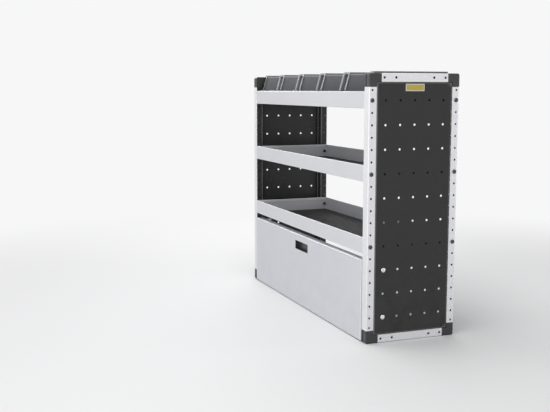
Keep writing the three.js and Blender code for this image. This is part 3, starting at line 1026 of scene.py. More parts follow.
class Workshop:
    """Turns drafts into finished pieces of the model and dresses them."""

    FOLD_ANGLE = math.radians(15)
    SHARP_ANGLE = math.radians(50)
    SMOOTH_ANGLE = math.radians(38)
    FOLD_STEPS = 4

    def __init__(self) -> None:
        """Reads the unit's height. Pieces are mirrored up and down about its middle."""
        self._materials: dict[Finish, bpy.types.Material] = {}
        self._height = Extent.of("cap_right_back_top").high.z

    def piece(
        self,
        draft: bmesh.types.BMesh,
        node: str,
        way: str,
        finish: Finish,
        trim: Trim = Trim(),
        body: str = FRAME_BODY,
        sides: tuple[int, int, int] = (1, 1, 1),
    ) -> None:
        """Finishes one piece and puts it in the place of its node.

        Args:
            draft: The main shape.
            node: The node of the frame that it stands for.
            way: How it is made, which ends its name.
            finish: What it is made of.
            trim: The bends, thickness and rounding that it gets.
            body: The body that it rides on.
            sides: -1 for each axis on which it is mirrored, else 1.
        """
        shift = Matrix.Translation((0, 0, (1 - sides[2]) * self._height / 2))
        draft.transform(shift @ Matrix.Diagonal((*sides, 1)))
        if math.prod(sides) < 0:
            bmesh.ops.reverse_faces(draft, faces=draft.faces)
        made = bpy.data.objects.new(f"{node}_{way}", mesh_from(draft, f"{node}_{way}"))
        bpy.context.scene.collection.objects.link(made)
        self._shape(made, trim)
        if finish not in self._materials:
            self._materials[finish] = finish.material()
        made.data.materials.append(self._materials[finish])
        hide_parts(node)
        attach(made, body)
        LOG.info("%s: %d faces", made.name, len(made.data.polygons))

    def _shape(self, made: bpy.types.Object, trim: Trim) -> None:
        """Adds bends, thickness, rounding and even shading, and applies them to the mesh.

        Args:
            made: The piece.
            trim: What it gets.
        """
        if trim.fold_radius:
            bends = {"width": trim.fold_radius, "segments": self.FOLD_STEPS}
            self._modify(made, "BEVEL", limit_method="ANGLE", angle_limit=self.FOLD_ANGLE, **bends)
            self._apply(made)
        limit = {"limit_method": "ANGLE", "angle_limit": self.SHARP_ANGLE}
        if trim.thickness:
            self._mark_rim(made.data)
            self._modify(made, "SOLIDIFY", thickness=trim.thickness, offset=-1, use_even_offset=True)
            limit = {"limit_method": "WEIGHT"}
        if trim.edge:
            self._modify(made, "BEVEL", width=trim.edge, segments=trim.edge_steps, **limit)
        self._apply(made)
        made.data.shade_smooth()
        made.data.set_sharp_from_angle(angle=self.SMOOTH_ANGLE)
        self._modify(made, "WEIGHTED_NORMAL", keep_sharp=True)
        self._apply(made)

    @staticmethod
    def _modify(made: bpy.types.Object, kind: str, **settings: Any) -> None:
        """Adds a modifier.

        Args:
            made: The piece.
            kind: The modifier's type.
            **settings: Its settings.
        """
        modifier = made.modifiers.new(kind.lower(), kind)
        for key, value in settings.items():
            setattr(modifier, key, value)

    @staticmethod
    def _mark_rim(mesh: bpy.types.Mesh) -> None:
        """Gives the open edges of a sheet the weight that the rounding looks for.

        Args:
            mesh: The sheet before it gets its thickness.
        """
        draft = bmesh.new()
        draft.from_mesh(mesh)
        weight = draft.edges.layers.float.new(RIM_LAYER)
        for edge in draft.edges:
            edge[weight] = float(edge.is_boundary)
        draft.to_mesh(mesh)
        draft.free()

    @staticmethod
    def _apply(made: bpy.types.Object) -> None:
        """Replaces a piece's mesh by what its modifiers make of it.

        Args:
            made: The piece.
        """
        graph = bpy.context.evaluated_depsgraph_get()
        source = made.data
        shaped = made.evaluated_get(graph)
        made_mesh = bpy.data.meshes.new_from_object(shaped, preserve_all_data_layers=True, depsgraph=graph)
        made.modifiers.clear()
        made.data = made_mesh
        name = source.name
        bpy.data.meshes.remove(source)
        made_mesh.name = name


def mesh_from(draft: bmesh.types.BMesh, name: str) -> bpy.types.Mesh:
    """Turns a draft into a mesh and frees it.

    Args:
        draft: The draft.
        name: The mesh's name.

    Returns:
        The mesh.
    """
    mesh = bpy.data.meshes.new(name)
    draft.to_mesh(mesh)
    draft.free()
    return mesh


# The end frames


@dataclass
class EndFrames:
    """Posts, bars, corner caps and perforated panels of both ends.

    FIRST_FOLD to LAST_FOLD number the straights of a panel's section, and END_LEG is the one of
    a post's section that lies on the unit's end.
    """

    FIRST_FOLD, FIRST_WALL, FACE, LAST_WALL, LAST_FOLD = range(5)
    END_LEG = 1

    workshop: Workshop
    angle_thickness: float = 2.5 * MM
    angle_radius: float = 5 * MM
    hole_diameter: float = 8.8 * MM
    hole_inset: float = 15 * MM
    hole_pitch: float = 50 * MM
    lowest_hole: float = 110 * MM
    bar_hole_offset: float = 88 * MM
    bar_hole_diameter: float = 10.5 * MM
    peg_inset: float = 13 * MM
    panel_thickness: float = 1.5 * MM
    panel_bend: float = 6 * MM
    grid_hole: float = 9.5 * MM
    grid_margin: float = 41.2 * MM
    grid_columns: int = 2
    grid_every: int = 2
    seat_gap: float = 0.3 * MM
    rim: float = 0.35 * MM
    post_rim: float = 0.8 * MM

    def __post_init__(self) -> None:
        """Reads the places that the pieces share from the frame."""
        self.post = Extent.of("post_right_back")
        self.bar = Extent.of("bar_right_top")
        self.height = Extent.of("cap_right_back_top").high.z
        self.end_face = self.post.high.x
        self.inner_face = self.post.low.x
        self.front_face = self.post.high.y
        self.arm = self.front_face - self.bar.high.y - self.seat_gap
        self.hole_row = self.front_face - self.hole_inset
        steps = round((self.height - 2 * self.lowest_hole) / self.hole_pitch)
        self.hole_heights = [self.lowest_hole + step * self.hole_pitch for step in range(steps + 1)]
        self.peg_height = self.height - self.arm - self.peg_inset
        self.peg_offset = self.front_face - self.arm - self.peg_inset

    def build(self) -> None:
        """Makes every piece of both ends."""
        inside = Vector((0, 0, self.height / 2))
        piece = self.workshop.piece
        panel_trim = Trim(thickness=self.panel_thickness, edge=self.rim)
        bar_trim = Trim(thickness=self.angle_thickness, edge=self.rim)
        post_trim = Trim(thickness=self.angle_thickness, edge=self.post_rim)
        for end, x in ENDS.items():
            panel = self._panel().draft(inside)
            piece(panel, f"end_panel_{end}", "pressed", BLACK_STEEL, panel_trim, sides=(x, 1, 1))
            for level, z in LEVELS.items():
                bar = self._bar().draft(inside)
                piece(bar, f"bar_{end}_{level}", "extruded", ALUMINIUM_BAR, bar_trim, sides=(x, 1, z))
            for depth, y in DEPTHS.items():
                post = self._post().draft(inside)
                piece(post, f"post_{end}_{depth}", "extruded", ALUMINIUM_POST, post_trim, sides=(x, y, 1))
                for level, z in LEVELS.items():
                    cap = CornerCap(self).draft()
                    piece(cap, f"cap_{end}_{depth}_{level}", "moulded", CAP_PLASTIC, sides=(x, y, z))

    def _post(self) -> FoldedSheet:
        """Gives the right back post with its hole row.

        Returns:
            Its sheet.
        """
        corners = [(self.inner_face, self.front_face), (self.end_face, self.front_face, self.angle_radius)]
        across = FoldPath([*corners, (self.end_face, self.post.low.y)], web=self.END_LEG)
        bottom = self.post.low.z
        along = FoldPath([(bottom, 0), (self.post.high.z, 0)])
        row = across.at(self.END_LEG, self.hole_inset)
        heights = [self.height - self.peg_height, *self.hole_heights, self.peg_height]
        openings = [Opening.round(row, along.at(0, z - bottom), self.hole_diameter) for z in heights]
        return FoldedSheet(across, along, Plane(Axis.X, Axis.Z, Axis.Y), openings)

    def _bar(self) -> FoldedSheet:
        """Gives the right top bar with its four holes.

        Returns:
            Its sheet.
        """
        low, top = self.bar.low.z, self.bar.high.z
        across = FoldPath([(low, 0), (top, 0, self.angle_radius), (top, self.inner_face - self.end_face)])
        half = self.bar.high.y
        along = FoldPath([(-half, 0), (half, 0)])
        row = across.at(0, (top - low) / 2)
        offsets = (-self.peg_offset, -self.bar_hole_offset, self.bar_hole_offset, self.peg_offset)
        openings = [Opening.round(row, along.at(0, y + half), self.bar_hole_diameter) for y in offsets]
        return FoldedSheet(across, along, Plane(Axis.Z, Axis.Y, Axis.X, self.end_face), openings)

    def _panel(self) -> FoldedSheet:
        """Gives the right panel, folded in and then out behind the posts and bars.

        Returns:
            Its sheet.
        """
        half = self.post.low.y - self.seat_gap
        bottom = self.height - self.bar.low.z + self.seat_gap
        top = self.height - bottom
        reach = Extent.of("end_panel_right").high
        across = self._dish(-reach.y, -half, half, reach.y)
        along = self._dish(self.height - reach.z, bottom, top, reach.z)
        pitch = (half - self.grid_margin) / self.grid_columns
        openings = []
        for index, z in enumerate(self.hole_heights):
            fold_runs = ((self.FIRST_FOLD, reach.y - self.hole_row), (self.LAST_FOLD, self.hole_row - half))
            places = [across.at(*fold_run) for fold_run in fold_runs]
            if index % self.grid_every == 0:
                steps = range(-self.grid_columns, self.grid_columns + 1)
                places += [across.at(self.FACE, step * pitch + half) for step in steps]
            level = along.at(self.FACE, z - bottom)
            openings += [Opening.round(place, level, self.grid_hole) for place in places]
        beside_posts = tuple(along.at(self.FACE, z - bottom) for z in (self.post.low.z, self.post.high.z))
        beside_bars = tuple(across.at(self.FACE, half + side * self.bar.high.y) for side in (-1, 1))
        dish = Area(*(path.span(self.FIRST_WALL, self.LAST_WALL) for path in (across, along)))
        areas = (dish, Area(along=beside_posts), Area(across=beside_bars))
        plane = Plane(Axis.Y, Axis.Z, Axis.X, self.end_face)
        return FoldedSheet(
            across, along, plane, openings, areas, beside_bars, beside_posts, across.reach(2)
        )

    def _dish(self, first: float, low: float, high: float, last: float) -> FoldPath:
        """Gives the panel's section: a face, a wall at each side, and folds that turn outwards.

        Args:
            first: Where the first fold ends.
            low: Where the first wall stands.
            high: Where the last wall stands.
            last: Where the last fold ends.

        Returns:
            The path, with the face as its main face.
        """
        flange, bend = self.inner_face + self.panel_thickness - self.end_face, self.panel_bend
        walls = [(low, flange, bend), (low, 0, bend), (high, 0, bend), (high, flange, bend)]
        return FoldPath([(first, flange), *walls, (last, flange)], web=self.FACE)


@dataclass
class CornerCap:
    """The right back upper corner cap: an L with a groove, two spigots and two snap pegs."""

    ends: EndFrames
    corner_radius: float = 9 * MM
    edge_radius: float = 4 * MM
    inner_radius: float = 2 * MM
    fine_radius: float = 0.6 * MM
    groove_place: float = 9 * MM
    groove_width: float = 9 * MM
    groove_depth: float = 2.5 * MM
    groove_draft: float = 0.5 * MM
    groove_bend: float = 0.4 * MM
    spigot_length: float = 24 * MM
    spigot_radius: float = 2 * MM
    spigot_lead: float = 3 * MM
    spigot_taper: float = 1.5 * MM
    sunk: float = 1 * MM
    peg_clearance: float = 0.3 * MM
    peg_depth: float = 1.5 * MM
    peg_root: float = 2 * MM
    peg_lead: float = 0.8 * MM
    peg_taper: float = 0.9 * MM
    peg_sides: int = 20
    fine_steps: int = 2
    groove_steps: int = 3
    edge_steps: int = 5
    corner_steps: int = 8
    spigot_steps: int = 3

    def draft(self) -> bmesh.types.BMesh:
        """Makes the cap as closed shells.

        Returns:
            Its draft.
        """
        ends = self.ends
        gap = ends.seat_gap
        behind_post = (ends.post.low.y + gap, ends.front_face - ends.angle_thickness - gap)
        under_bar = (ends.bar.low.z, ends.bar.high.z - ends.angle_thickness - gap)
        down = self._spigot(ends.height - ends.arm, behind_post, True)
        inward = self._spigot(ends.front_face - ends.arm, under_bar, False)
        row = (ends.bar.low.z + ends.bar.high.z) / 2
        post_peg = self._peg((ends.hole_row, ends.peg_height), ends.hole_diameter)
        bar_peg = self._peg((ends.peg_offset, row), ends.bar_hole_diameter)
        return loft(self._shell(), down, inward, post_peg, bar_peg)

    def _shell(self) -> Rings:
        """Gives the rings of the L from its inner side to its rounded outer side.

        Returns:
            The rings.
        """
        inner, outer = self.ends.inner_face, self.ends.end_face
        fine, edge = self.fine_radius, self.edge_radius
        stations = []
        for step in range(self.fine_steps + 1):
            angle = QUARTER * step / self.fine_steps
            drop = fine * (1 - math.sin(angle))
            stations.append((inner + fine * (1 - math.cos(angle)), drop, 0.0, drop))
        groove = inner + self.groove_place
        after = groove + self.groove_width
        draft, depth, bend = self.groove_draft, self.groove_depth, self.groove_bend
        floor = [(groove + draft, depth, bend), (after - draft, depth, bend)]
        sides = [(inner + fine, 0), (groove, 0, bend), *floor, (after, 0, bend), (outer - edge, 0)]
        section = FoldPath(sides, arc_steps=self.groove_steps).points()[1:-1]
        stations += [(point.x, 0.0, point.y, 0.0) for point in section]
        for step in range(self.edge_steps + 1):
            angle = QUARTER * step / self.edge_steps
            rest = edge * (1 - math.sin(angle))
            lead = fine - math.sqrt(fine ** 2 - max(0.0, fine - rest) ** 2)
            stations.append((outer - rest, edge * (1 - math.cos(angle)), 0.0, lead))
        return [self._outline(*station) for station in stations]

    def _outline(self, x: float, inset: float, groove: float, lead: float) -> list[Vector]:
        """Gives the L at one place along X.

        Args:
            x: The place.
            inset: How far its outer sides are drawn in.
            groove: How far its upright outer side is cut back.
            lead: How far its inner sides are drawn in.

        Returns:
            The points of the L.
        """
        ends, fine = self.ends, self.fine_radius
        arm = ends.front_face - ends.arm + lead
        leg = ends.post.low.y + lead
        under = ends.height - ends.arm + lead
        step = ends.bar.low.z + lead
        back, top = ends.front_face - inset, ends.height - inset
        corners = [
            (leg, top),
            (back, top, self.corner_radius - inset),
            (back, under, fine),
            (leg, under, fine),
            (leg, step, self.inner_radius),
            (arm, step, fine),
            (arm, top, fine),
            (leg, top),
        ]
        limit = ends.front_face - groove
        points = FoldPath(corners, arc_steps=self.corner_steps).points()[:-1]
        return [Vector((x, min(point.x, limit), point.y)) for point in points]

    def _spigot(self, start: float, span: Point2, upright: bool) -> Rings:
        """Gives the rings of a tapered spigot, down the post or along the bar.

        Args:
            start: Where it leaves the cap.
            span: Its two faces on the third axis.
            upright: True for the one down the post.

        Returns:
            The rings.
        """
        ends = self.ends
        low_x = ends.inner_face + ends.panel_thickness + ends.seat_gap
        high_x = ends.end_face - ends.angle_thickness - ends.seat_gap
        tip = start - self.spigot_length
        rings = []
        for place, inset in ((start + self.sunk, 0), (tip + self.spigot_lead, 0), (tip, self.spigot_taper)):
            half = ((high_x - low_x) / 2 - inset, (span[1] - span[0]) / 2 - inset)
            ring = []
            for u, v in rounded_ring(half, self.spigot_radius, self.spigot_steps):
                x, side = (low_x + high_x) / 2 + u, sum(span) / 2 + v
                ring.append(Vector((x, side, place) if upright else (x, place, side)))
            rings.append(ring)
        return rings

    def _peg(self, centre: Point2, hole: float) -> Rings:
        """Gives the rings of a snap peg, which ends just inside its hole.

        Args:
            centre: The hole's place in Y and Z.
            hole: Its diameter.

        Returns:
            The rings.
        """
        root = self.ends.end_face - self.ends.angle_thickness - self.peg_root
        tip = self.ends.end_face - self.peg_depth
        radius = hole / 2 - self.peg_clearance
        stations = ((root, radius), (tip - self.peg_lead, radius), (tip, radius - self.peg_taper))
        return turned(stations, centre, self.peg_sides)


# Trays and mats


@dataclass
class TrayStack:
    """The three lipped trays and the rubber mats in them.

    FIRST_LIP to LAST_LIP number straights of a tray's section.
    """

    FIRST_LIP, FLOOR, LAST_LIP = range(2, 5)

    workshop: Workshop
    thickness: float = 1.5 * MM
    hem: float = 5 * MM
    hem_height: float = 14 * MM
    bend: float = 2.5 * MM
    bend_steps: int = 4
    hole_diameter: float = 8.8 * MM
    hole_inset: float = 15 * MM
    hole_lift: float = 33 * MM
    rib_pitch: float = 5 * MM
    rib_shares: tuple[float, ...] = (0.55, 0.65, 0.90, 1.0)
    groove_depth: float = 0.9 * MM
    mat_border: float = 6 * MM
    border_thickness: float = 0.6 * MM
    border_slope: float = 0.3 * MM
    end_slope: float = 0.4 * MM

    def build(self) -> None:
        """Makes each tray and its mat."""
        for name in TRAYS:
            tray, mat = f"tray_{name}", f"mat_{name}"
            self.workshop.piece(self._tray(tray), tray, "folded", TRAY_PAINT, Trim(thickness=self.thickness))
            self.workshop.piece(self._mat(mat), mat, "ribbed", MAT_RUBBER)

    def _tray(self, node: str) -> bmesh.types.BMesh:
        """Makes one tray: floor, four lips and the hems folded back inside them.

        Args:
            node: Its node.

        Returns:
            Its outer face.
        """
        extent = Extent.of(node)
        across, along = (self._section(half, extent.size.z) for half in extent.high.xy)
        openings = []
        for side in (-1, 1):
            hole = along.at(self.FLOOR, extent.high.y + side * (extent.high.y - self.hole_inset))
            lips = {self.FIRST_LIP: extent.size.z - self.hole_lift, self.LAST_LIP: self.hole_lift}
            for lip, run in lips.items():
                openings.append(Opening.round(across.at(lip, run), hole, self.hole_diameter))
        plane = Plane(Axis.X, Axis.Y, Axis.Z, extent.low.z)
        sheet = FoldedSheet(across, along, plane, openings, corner_reach=across.reach(3))
        return sheet.draft(extent.middle)

    def _section(self, half: float, lip: float) -> FoldPath:
        """Gives the tray's section.

        Args:
            half: Half the tray's length or depth.
            lip: The height of its lips.

        Returns:
            The path, with the floor as its main face.
        """
        roll = self.hem / 2
        inner = -half + self.hem
        hem = [(inner, lip - self.hem_height), (inner, lip, roll)]
        rising = [*hem, (-half, lip, roll), (-half, 0, self.bend)]
        falling = [(-corner[0], *corner[1:]) for corner in reversed(rising)]
        return FoldPath([*rising, *falling], web=self.FLOOR, arc_steps=self.bend_steps)

    def _mat(self, node: str) -> bmesh.types.BMesh:
        """Makes one mat with fine ribs along the tray and a thin flat border.

        Args:
            node: Its node.

        Returns:
            Its draft.
        """
        extent = Extent.of(node)
        low, high = extent.low, extent.high
        count = int((extent.size.y - 2 * self.mat_border) / self.rib_pitch)
        margin = (extent.size.y - count * self.rib_pitch) / 2
        start, end = low.y + margin, high.y - margin
        border = low.z + self.border_thickness
        groove = high.z - self.groove_depth
        profile = [(low.y, low.z), (low.y, border), (start - self.border_slope, border), (start, high.z)]
        for index in range(count):
            for share, level in zip(self.rib_shares, (high.z, groove, groove, high.z)):
                profile.append((start + (index + share) * self.rib_pitch, level))
        profile += [(end + self.border_slope, border), (high.y, border), (high.y, low.z)]
        flat = [(y, min(z, border)) for y, z in profile]
        inner = (low.x + self.mat_border, high.x - self.mat_border)
        stations = [(low.x, flat), (inner[0], flat), (inner[0] + self.end_slope, profile)]
        stations += [(inner[1] - self.end_slope, profile), (inner[1], flat), (high.x, flat)]
        return loft([[Vector((x, y, z)) for y, z in outline] for x, outline in stations])


# Bins


@dataclass
class BinRow:
    """The five loose bins with their slanted open fronts and stacking rims.

    Each face is a list of corners, and a corner is a letter for its place on X and one for its
    point of the side view, which _points explains. On X, l and r are the left and right walls,
    M and N the sides of the mouth, O and P those of the rim. WALL_FACES and EDGE_FACES are made
    once for each side, whose wall, mouth and rim are w, m and o.
    """

    workshop: Workshop
    count: int = 5
    wall: float = 2.5 * MM
    rim_overhang: float = 17.5 * MM
    rim_height: float = 10 * MM
    lip_height: float = 70 * MM
    mouth_lean: float = 22 * MM
    mouth_border: float = 14 * MM
    fold_radius: float = 3.5 * MM
    rim: float = 0.8 * MM
    rim_steps: int = 3

    BASE_FACES: ClassVar[tuple[str, ...]] = ("la le re ra", "la ra rb Nb Mb lb", "le lf rf re")
    WALL_FACES: ClassVar[tuple[str, ...]] = ("wa wb wc wf we", "wb mb mc wc", "wc mc md wd")
    EDGE_FACES: ClassVar[tuple[str, ...]] = ("wc wd od oc", "wc oc og wf", "oc od oh og")
    BACK_FACES: ClassVar[tuple[str, ...]] = ("lf Og Pg rf", "Og Oh Ph Pg")
    DIGITS: ClassVar[int] = 6

    def build(self) -> None:
        """Makes each bin."""
        trim = Trim(self.fold_radius, self.wall, self.rim, self.rim_steps)
        for number in range(1, self.count + 1):
            node = f"bin_{number}"
            self.workshop.piece(self._shell(Extent.of(node)), node, "moulded", BIN_PLASTIC, trim, node)

    def _points(self, extent: Extent) -> dict[str, Point2]:
        """Gives the points of the bin's side view in Y and Z.

        Args:
            extent: The box round the bin.

        Returns:
            The points by letter: a and e end the floor, b is the low front's top, c and d are
            the rim's front, f is the back wall's top, and g and h are the rim's back.
        """
        front, back = extent.low.y, extent.high.y - self.rim_overhang
        floor, top = extent.low.z, extent.high.z
        lip, rim = floor + self.lip_height, top - self.rim_height
        slope = self.mouth_lean / (top - lip)
        rim_front, top_front = front + (rim - lip) * slope, front + (top - lip) * slope
        front_view = {"a": (front, floor), "b": (front, lip), "c": (rim_front, rim), "d": (top_front, top)}
        rim_back = {"g": (extent.high.y, rim), "h": (extent.high.y, top)}
        return {**front_view, "e": (back, floor), "f": (back, rim), **rim_back}

    def _shell(self, extent: Extent) -> bmesh.types.BMesh:
        """Makes the outer face of one bin.

        Args:
            extent: The box round the bin.

        Returns:
            The open draft, with its normals outwards.
        """
        outer = (extent.low.x, extent.high.x)
        body = (outer[0] + self.rim_overhang, outer[1] - self.rim_overhang)
        mouth = (body[0] + self.mouth_border, body[1] - self.mouth_border)
        columns = dict(zip("lrMNOP", (*body, *mouth, *outer)))
        faces = [(names, columns) for names in self.BASE_FACES]
        for side in zip(body, mouth, outer):
            faces += [(names, dict(zip("wmo", side))) for names in (*self.WALL_FACES, *self.EDGE_FACES)]
        faces += [(names, columns) for names in self.BACK_FACES]
        points = self._points(extent)
        draft = bmesh.new()
        known: dict[Station, bmesh.types.BMVert] = {}
        for names, places in faces:
            corners = []
            for column, point in names.split():
                place = (places[column], *points[point])
                spot = tuple(round(value, self.DIGITS) for value in place)
                if spot not in known:
                    known[spot] = draft.verts.new(spot)
                corners.append(known[spot])
            draft.faces.new(corners)
        bmesh.ops.recalc_face_normals(draft, faces=draft.faces)
        draft.normal_update()
        base = min(draft.faces, key=lambda part: part.calc_center_median().z)
        if base.normal.z > 0:
            bmesh.ops.reverse_faces(draft, faces=draft.faces)
        return draft


# The flap


@dataclass
class Flap:
    """The drop down flap: folded front, finger cup, brackets, hinge pins and catches.

    FIRST_FOLD to LAST_FOLD number the straights of the front's sections, and BASE to PLATE
    those of a bracket's section.
    """

    FIRST_FOLD, FACE, LAST_FOLD = range(3)
    BASE, WEB, PLATE = range(3)

    workshop: Workshop
    thickness: float = 1.5 * MM
    bend: float = 3 * MM
    side_fold: float = 22 * MM
    bottom_fold: float = 18 * MM
    pin_hole: float = 6.8 * MM
    pin_margin: float = 1 * MM
    pull_size: Point2 = (157 * MM, 42 * MM)
    pull_below_top: float = 33 * MM
    pull_radius: float = 4 * MM
    cup_wall: float = 2 * MM
    cup_edge: float = 0.4 * MM
    cup_corner: float = 4 * MM
    cup_inner_corner: float = 3 * MM
    cup_back_edge: float = 1 * MM
    cup_hollow: tuple[Point2, ...] = ((5 * MM, 1 * MM), (1.5 * MM, 2.2 * MM), (0.0, 5.5 * MM))
    cup_steps: int = 5
    bracket_thickness: float = 2 * MM
    bracket_setback: float = 4.8 * MM
    screw_hole: float = 8.6 * MM
    pin_radius: float = 3 * MM
    pin_head: float = 3 * MM
    pin_chamfer: float = 0.6 * MM
    pin_sides: int = 28
    catch_room: float = 0.6 * MM
    catch_tab: float = 13 * MM
    catch_chamfer: float = 1 * MM
    catch_edge: float = 0.6 * MM
    rim: float = 0.35 * MM

    def __post_init__(self) -> None:
        """Reads the boxes that the pieces share."""
        self.flap = Extent.of("flap_panel")
        self.pin = Extent.of("hinge_pin_right")

    def build(self) -> None:
        """Makes every piece of the flap and what carries it."""
        piece = self.workshop.piece
        panel_trim = Trim(thickness=self.thickness, edge=self.rim)
        bracket_trim = Trim(thickness=self.bracket_thickness, edge=self.rim)
        cup_trim, catch_trim = Trim(edge=self.cup_edge), Trim(edge=self.catch_edge)
        piece(self._panel(), "flap_panel", "folded", FLAP_PAINT, panel_trim, FLAP_BODY)
        piece(self._cup(), "flap_pull", "moulded", CAP_PLASTIC, cup_trim, FLAP_BODY)
        for end, x in ENDS.items():
            sides = (x, 1, 1)
            piece(self._bracket(), f"flap_bracket_{end}", "folded", ZINC_STEEL, bracket_trim, sides=sides)
            piece(self._pin(), f"hinge_pin_{end}", "turned", BRIGHT_STEEL, sides=sides)
            piece(self._catch(), f"flap_catch_{end}", "moulded", CAP_PLASTIC, catch_trim, sides=sides)

    def _panel(self) -> bmesh.types.BMesh:
        """Makes the folded front with its finger hole and pivot holes.

        Returns:
            Its outer face.
        """
        half, front = self.flap.high.x, self.flap.low.y
        bottom, top = self.flap.low.z, self.flap.high.z
        across, along = (
            FoldPath([(start, first), (start, 0, self.bend), (end, 0, self.bend), (end, last)], web=self.FACE)
            for start, first, end, last in (
                (-half, self.side_fold, half, self.side_fold),
                (bottom, self.bottom_fold, top, self.flap.size.y),
            )
        )
        middle = top - self.pull_below_top - self.pull_size[1] / 2
        pull = (across.at(self.FACE, half), along.at(self.FACE, middle - bottom))
        openings = [Opening.slot(*pull, self.pull_size, self.pull_radius)]
        run = self.pin.middle.y - front
        pivot = along.at(self.FACE, self.pin.middle.z - bottom)
        for place in (across.at(self.FIRST_FOLD, self.side_fold - run), across.at(self.LAST_FOLD, run)):
            openings.append(Opening.round(place, pivot, self.pin_hole, self.pin_margin))
        sheet = FoldedSheet(across, along, Plane(Axis.X, Axis.Z, Axis.Y, front), openings)
        return sheet.draft(Vector((0, 0, self.flap.middle.z)))

    def _cup(self) -> bmesh.types.BMesh:
        """Makes the moulded cup behind the finger hole.

        Returns:
            Its draft.
        """
        extent = Extent.of("flap_pull")
        middle = extent.middle
        outer = (extent.size.x / 2, extent.size.z / 2)
        inner = (outer[0] - self.cup_wall, outer[1] - self.cup_wall)
        front, back = extent.low.y, extent.high.y
        floor = back - self.cup_wall
        stations = [
            (back, outer, self.cup_corner, self.cup_back_edge),
            (back - self.cup_back_edge, outer, self.cup_corner, 0.0),
            (front, outer, self.cup_corner, 0.0),
            (front, inner, self.cup_inner_corner, 0.0),
        ]
        stations += [(floor - run, inner, self.cup_inner_corner, inset) for run, inset in self.cup_hollow]
        rings = []
        for y, half, radius, inset in stations:
            half = (half[0] - inset, half[1] - inset)
            ring = rounded_ring(half, radius + inset / 2, self.cup_steps)
            rings.append([Vector((middle.x + u, y, middle.z + v)) for u, v in ring])
        return loft(rings)

    def _bracket(self) -> bmesh.types.BMesh:
        """Makes the right bracket: base on the panel, web, and plate beside the flap.

        Returns:
            Its outer face.
        """
        extent = Extent.of("flap_bracket_right")
        screws = [Extent.of(f"bracket_screw_right_{name}").middle for name in SCREWS]
        pivot = self.pin.middle
        plate = extent.low.x + self.bracket_thickness
        wall = Extent.of("post_right_front").high.y + self.bracket_setback
        web = [(extent.high.x, wall, self.bend), (plate, wall, self.bend)]
        across = FoldPath([(extent.high.x, extent.high.y), *web, (plate, extent.low.y)], web=self.PLATE)
        along = FoldPath([(extent.low.z, 0), (extent.high.z, 0)])
        row = across.at(self.BASE, extent.high.y - screws[0].y)
        heights = [screw.z - extent.low.z for screw in screws]
        openings = [Opening.round(row, height, self.screw_hole) for height in heights]
        hinge = (across.at(self.PLATE, wall - pivot.y), pivot.z - extent.low.z)
        openings.append(Opening.round(*hinge, self.pin_hole, self.pin_margin))
        step = screws[0].z - (extent.high.z - screws[1].z) - extent.low.z
        areas = (Area(along=(step, math.inf)), Area(across=(across.straights[self.PLATE].start, math.inf)))
        plane = Plane(Axis.X, Axis.Z, Axis.Y)
        sheet = FoldedSheet(across, along, plane, openings, areas, along_breaks=[step])
        return sheet.draft(Vector((0, pivot.y, extent.middle.z)))

    def _pin(self) -> bmesh.types.BMesh:
        """Makes the right hinge pin with its flat head.

        Returns:
            Its draft.
        """
        head, shank, chamfer = self.pin.size.y / 2, self.pin_radius, self.pin_chamfer
        start, end = self.pin.low.x, self.pin.high.x
        under = start + self.pin_head
        stations = [
            (start, head - chamfer),
            (start + chamfer, head),
            (under - chamfer / 2, head),
            (under, head - chamfer / 2),
            (under, shank),
            (end - chamfer, shank),
            (end, shank - chamfer),
        ]
        return loft(turned(stations, self.pin.middle.yz, self.pin_sides))

    def _catch(self) -> bmesh.types.BMesh:
        """Makes the right magnet catch: a block with a tab to the bracket.

        Returns:
            Its draft.
        """
        extent = Extent.of("flap_catch_right")
        low, high = extent.low, extent.high
        outer = self.flap.high.x - self.thickness - self.catch_room
        tab = high.y - self.catch_tab
        chamfer = self.catch_chamfer
        steps = [(low.x, low.y + chamfer), (low.x + chamfer, low.y)]
        steps += [(outer - chamfer, low.y), (outer, low.y + chamfer)]
        steps += [(outer, tab), (high.x, tab), (high.x, high.y), (low.x, high.y)]
        return loft([[Vector((x, y, z)) for x, y in steps] for z in (low.z, high.z)])


# Fasteners and the label


@dataclass(frozen=True)
class HeadShape:
    """A round head with a hexagon socket."""

    height: float
    socket_depth: float
    socket_width: float = 5 * MM
    flat: float = 1.6 * MM
    bevel: float = 0.3 * MM
    socket_rim: float = 0.35 * MM
    socket_point: float = 0.6 * MM
    wall_share: float = 0.22
    dome_steps: int = 6

    def stations(self, base: float, radius: float) -> list[Station]:
        """Gives stations (place, radius, hexagon share) from the seat up over the dome.

        Args:
            base: The place of the seat.
            radius: The head's radius.

        Returns:
            The stations, ending at the bottom of the socket.
        """
        top = base + self.height
        wall = self.height * self.wall_share
        socket = self.socket_width / 2
        flat = socket + self.flat
        found = [(base, radius - self.bevel, 0.0)]
        found += [(place, radius, 0.0) for place in (base + self.bevel, base + wall)]
        for step in range(1, self.dome_steps + 1):
            angle = QUARTER * step / self.dome_steps
            size = flat + (radius - flat) * math.cos(angle)
            found.append((base + wall + (self.height - wall) * math.sin(angle), size, 0.0))
        floor = top - self.socket_depth
        return [
            *found,
            (top, socket + self.socket_rim, 1.0),
            (top - self.bevel, socket, 1.0),
            (floor, socket, 1.0),
            (floor - self.socket_point, self.bevel, 0.0),
        ]


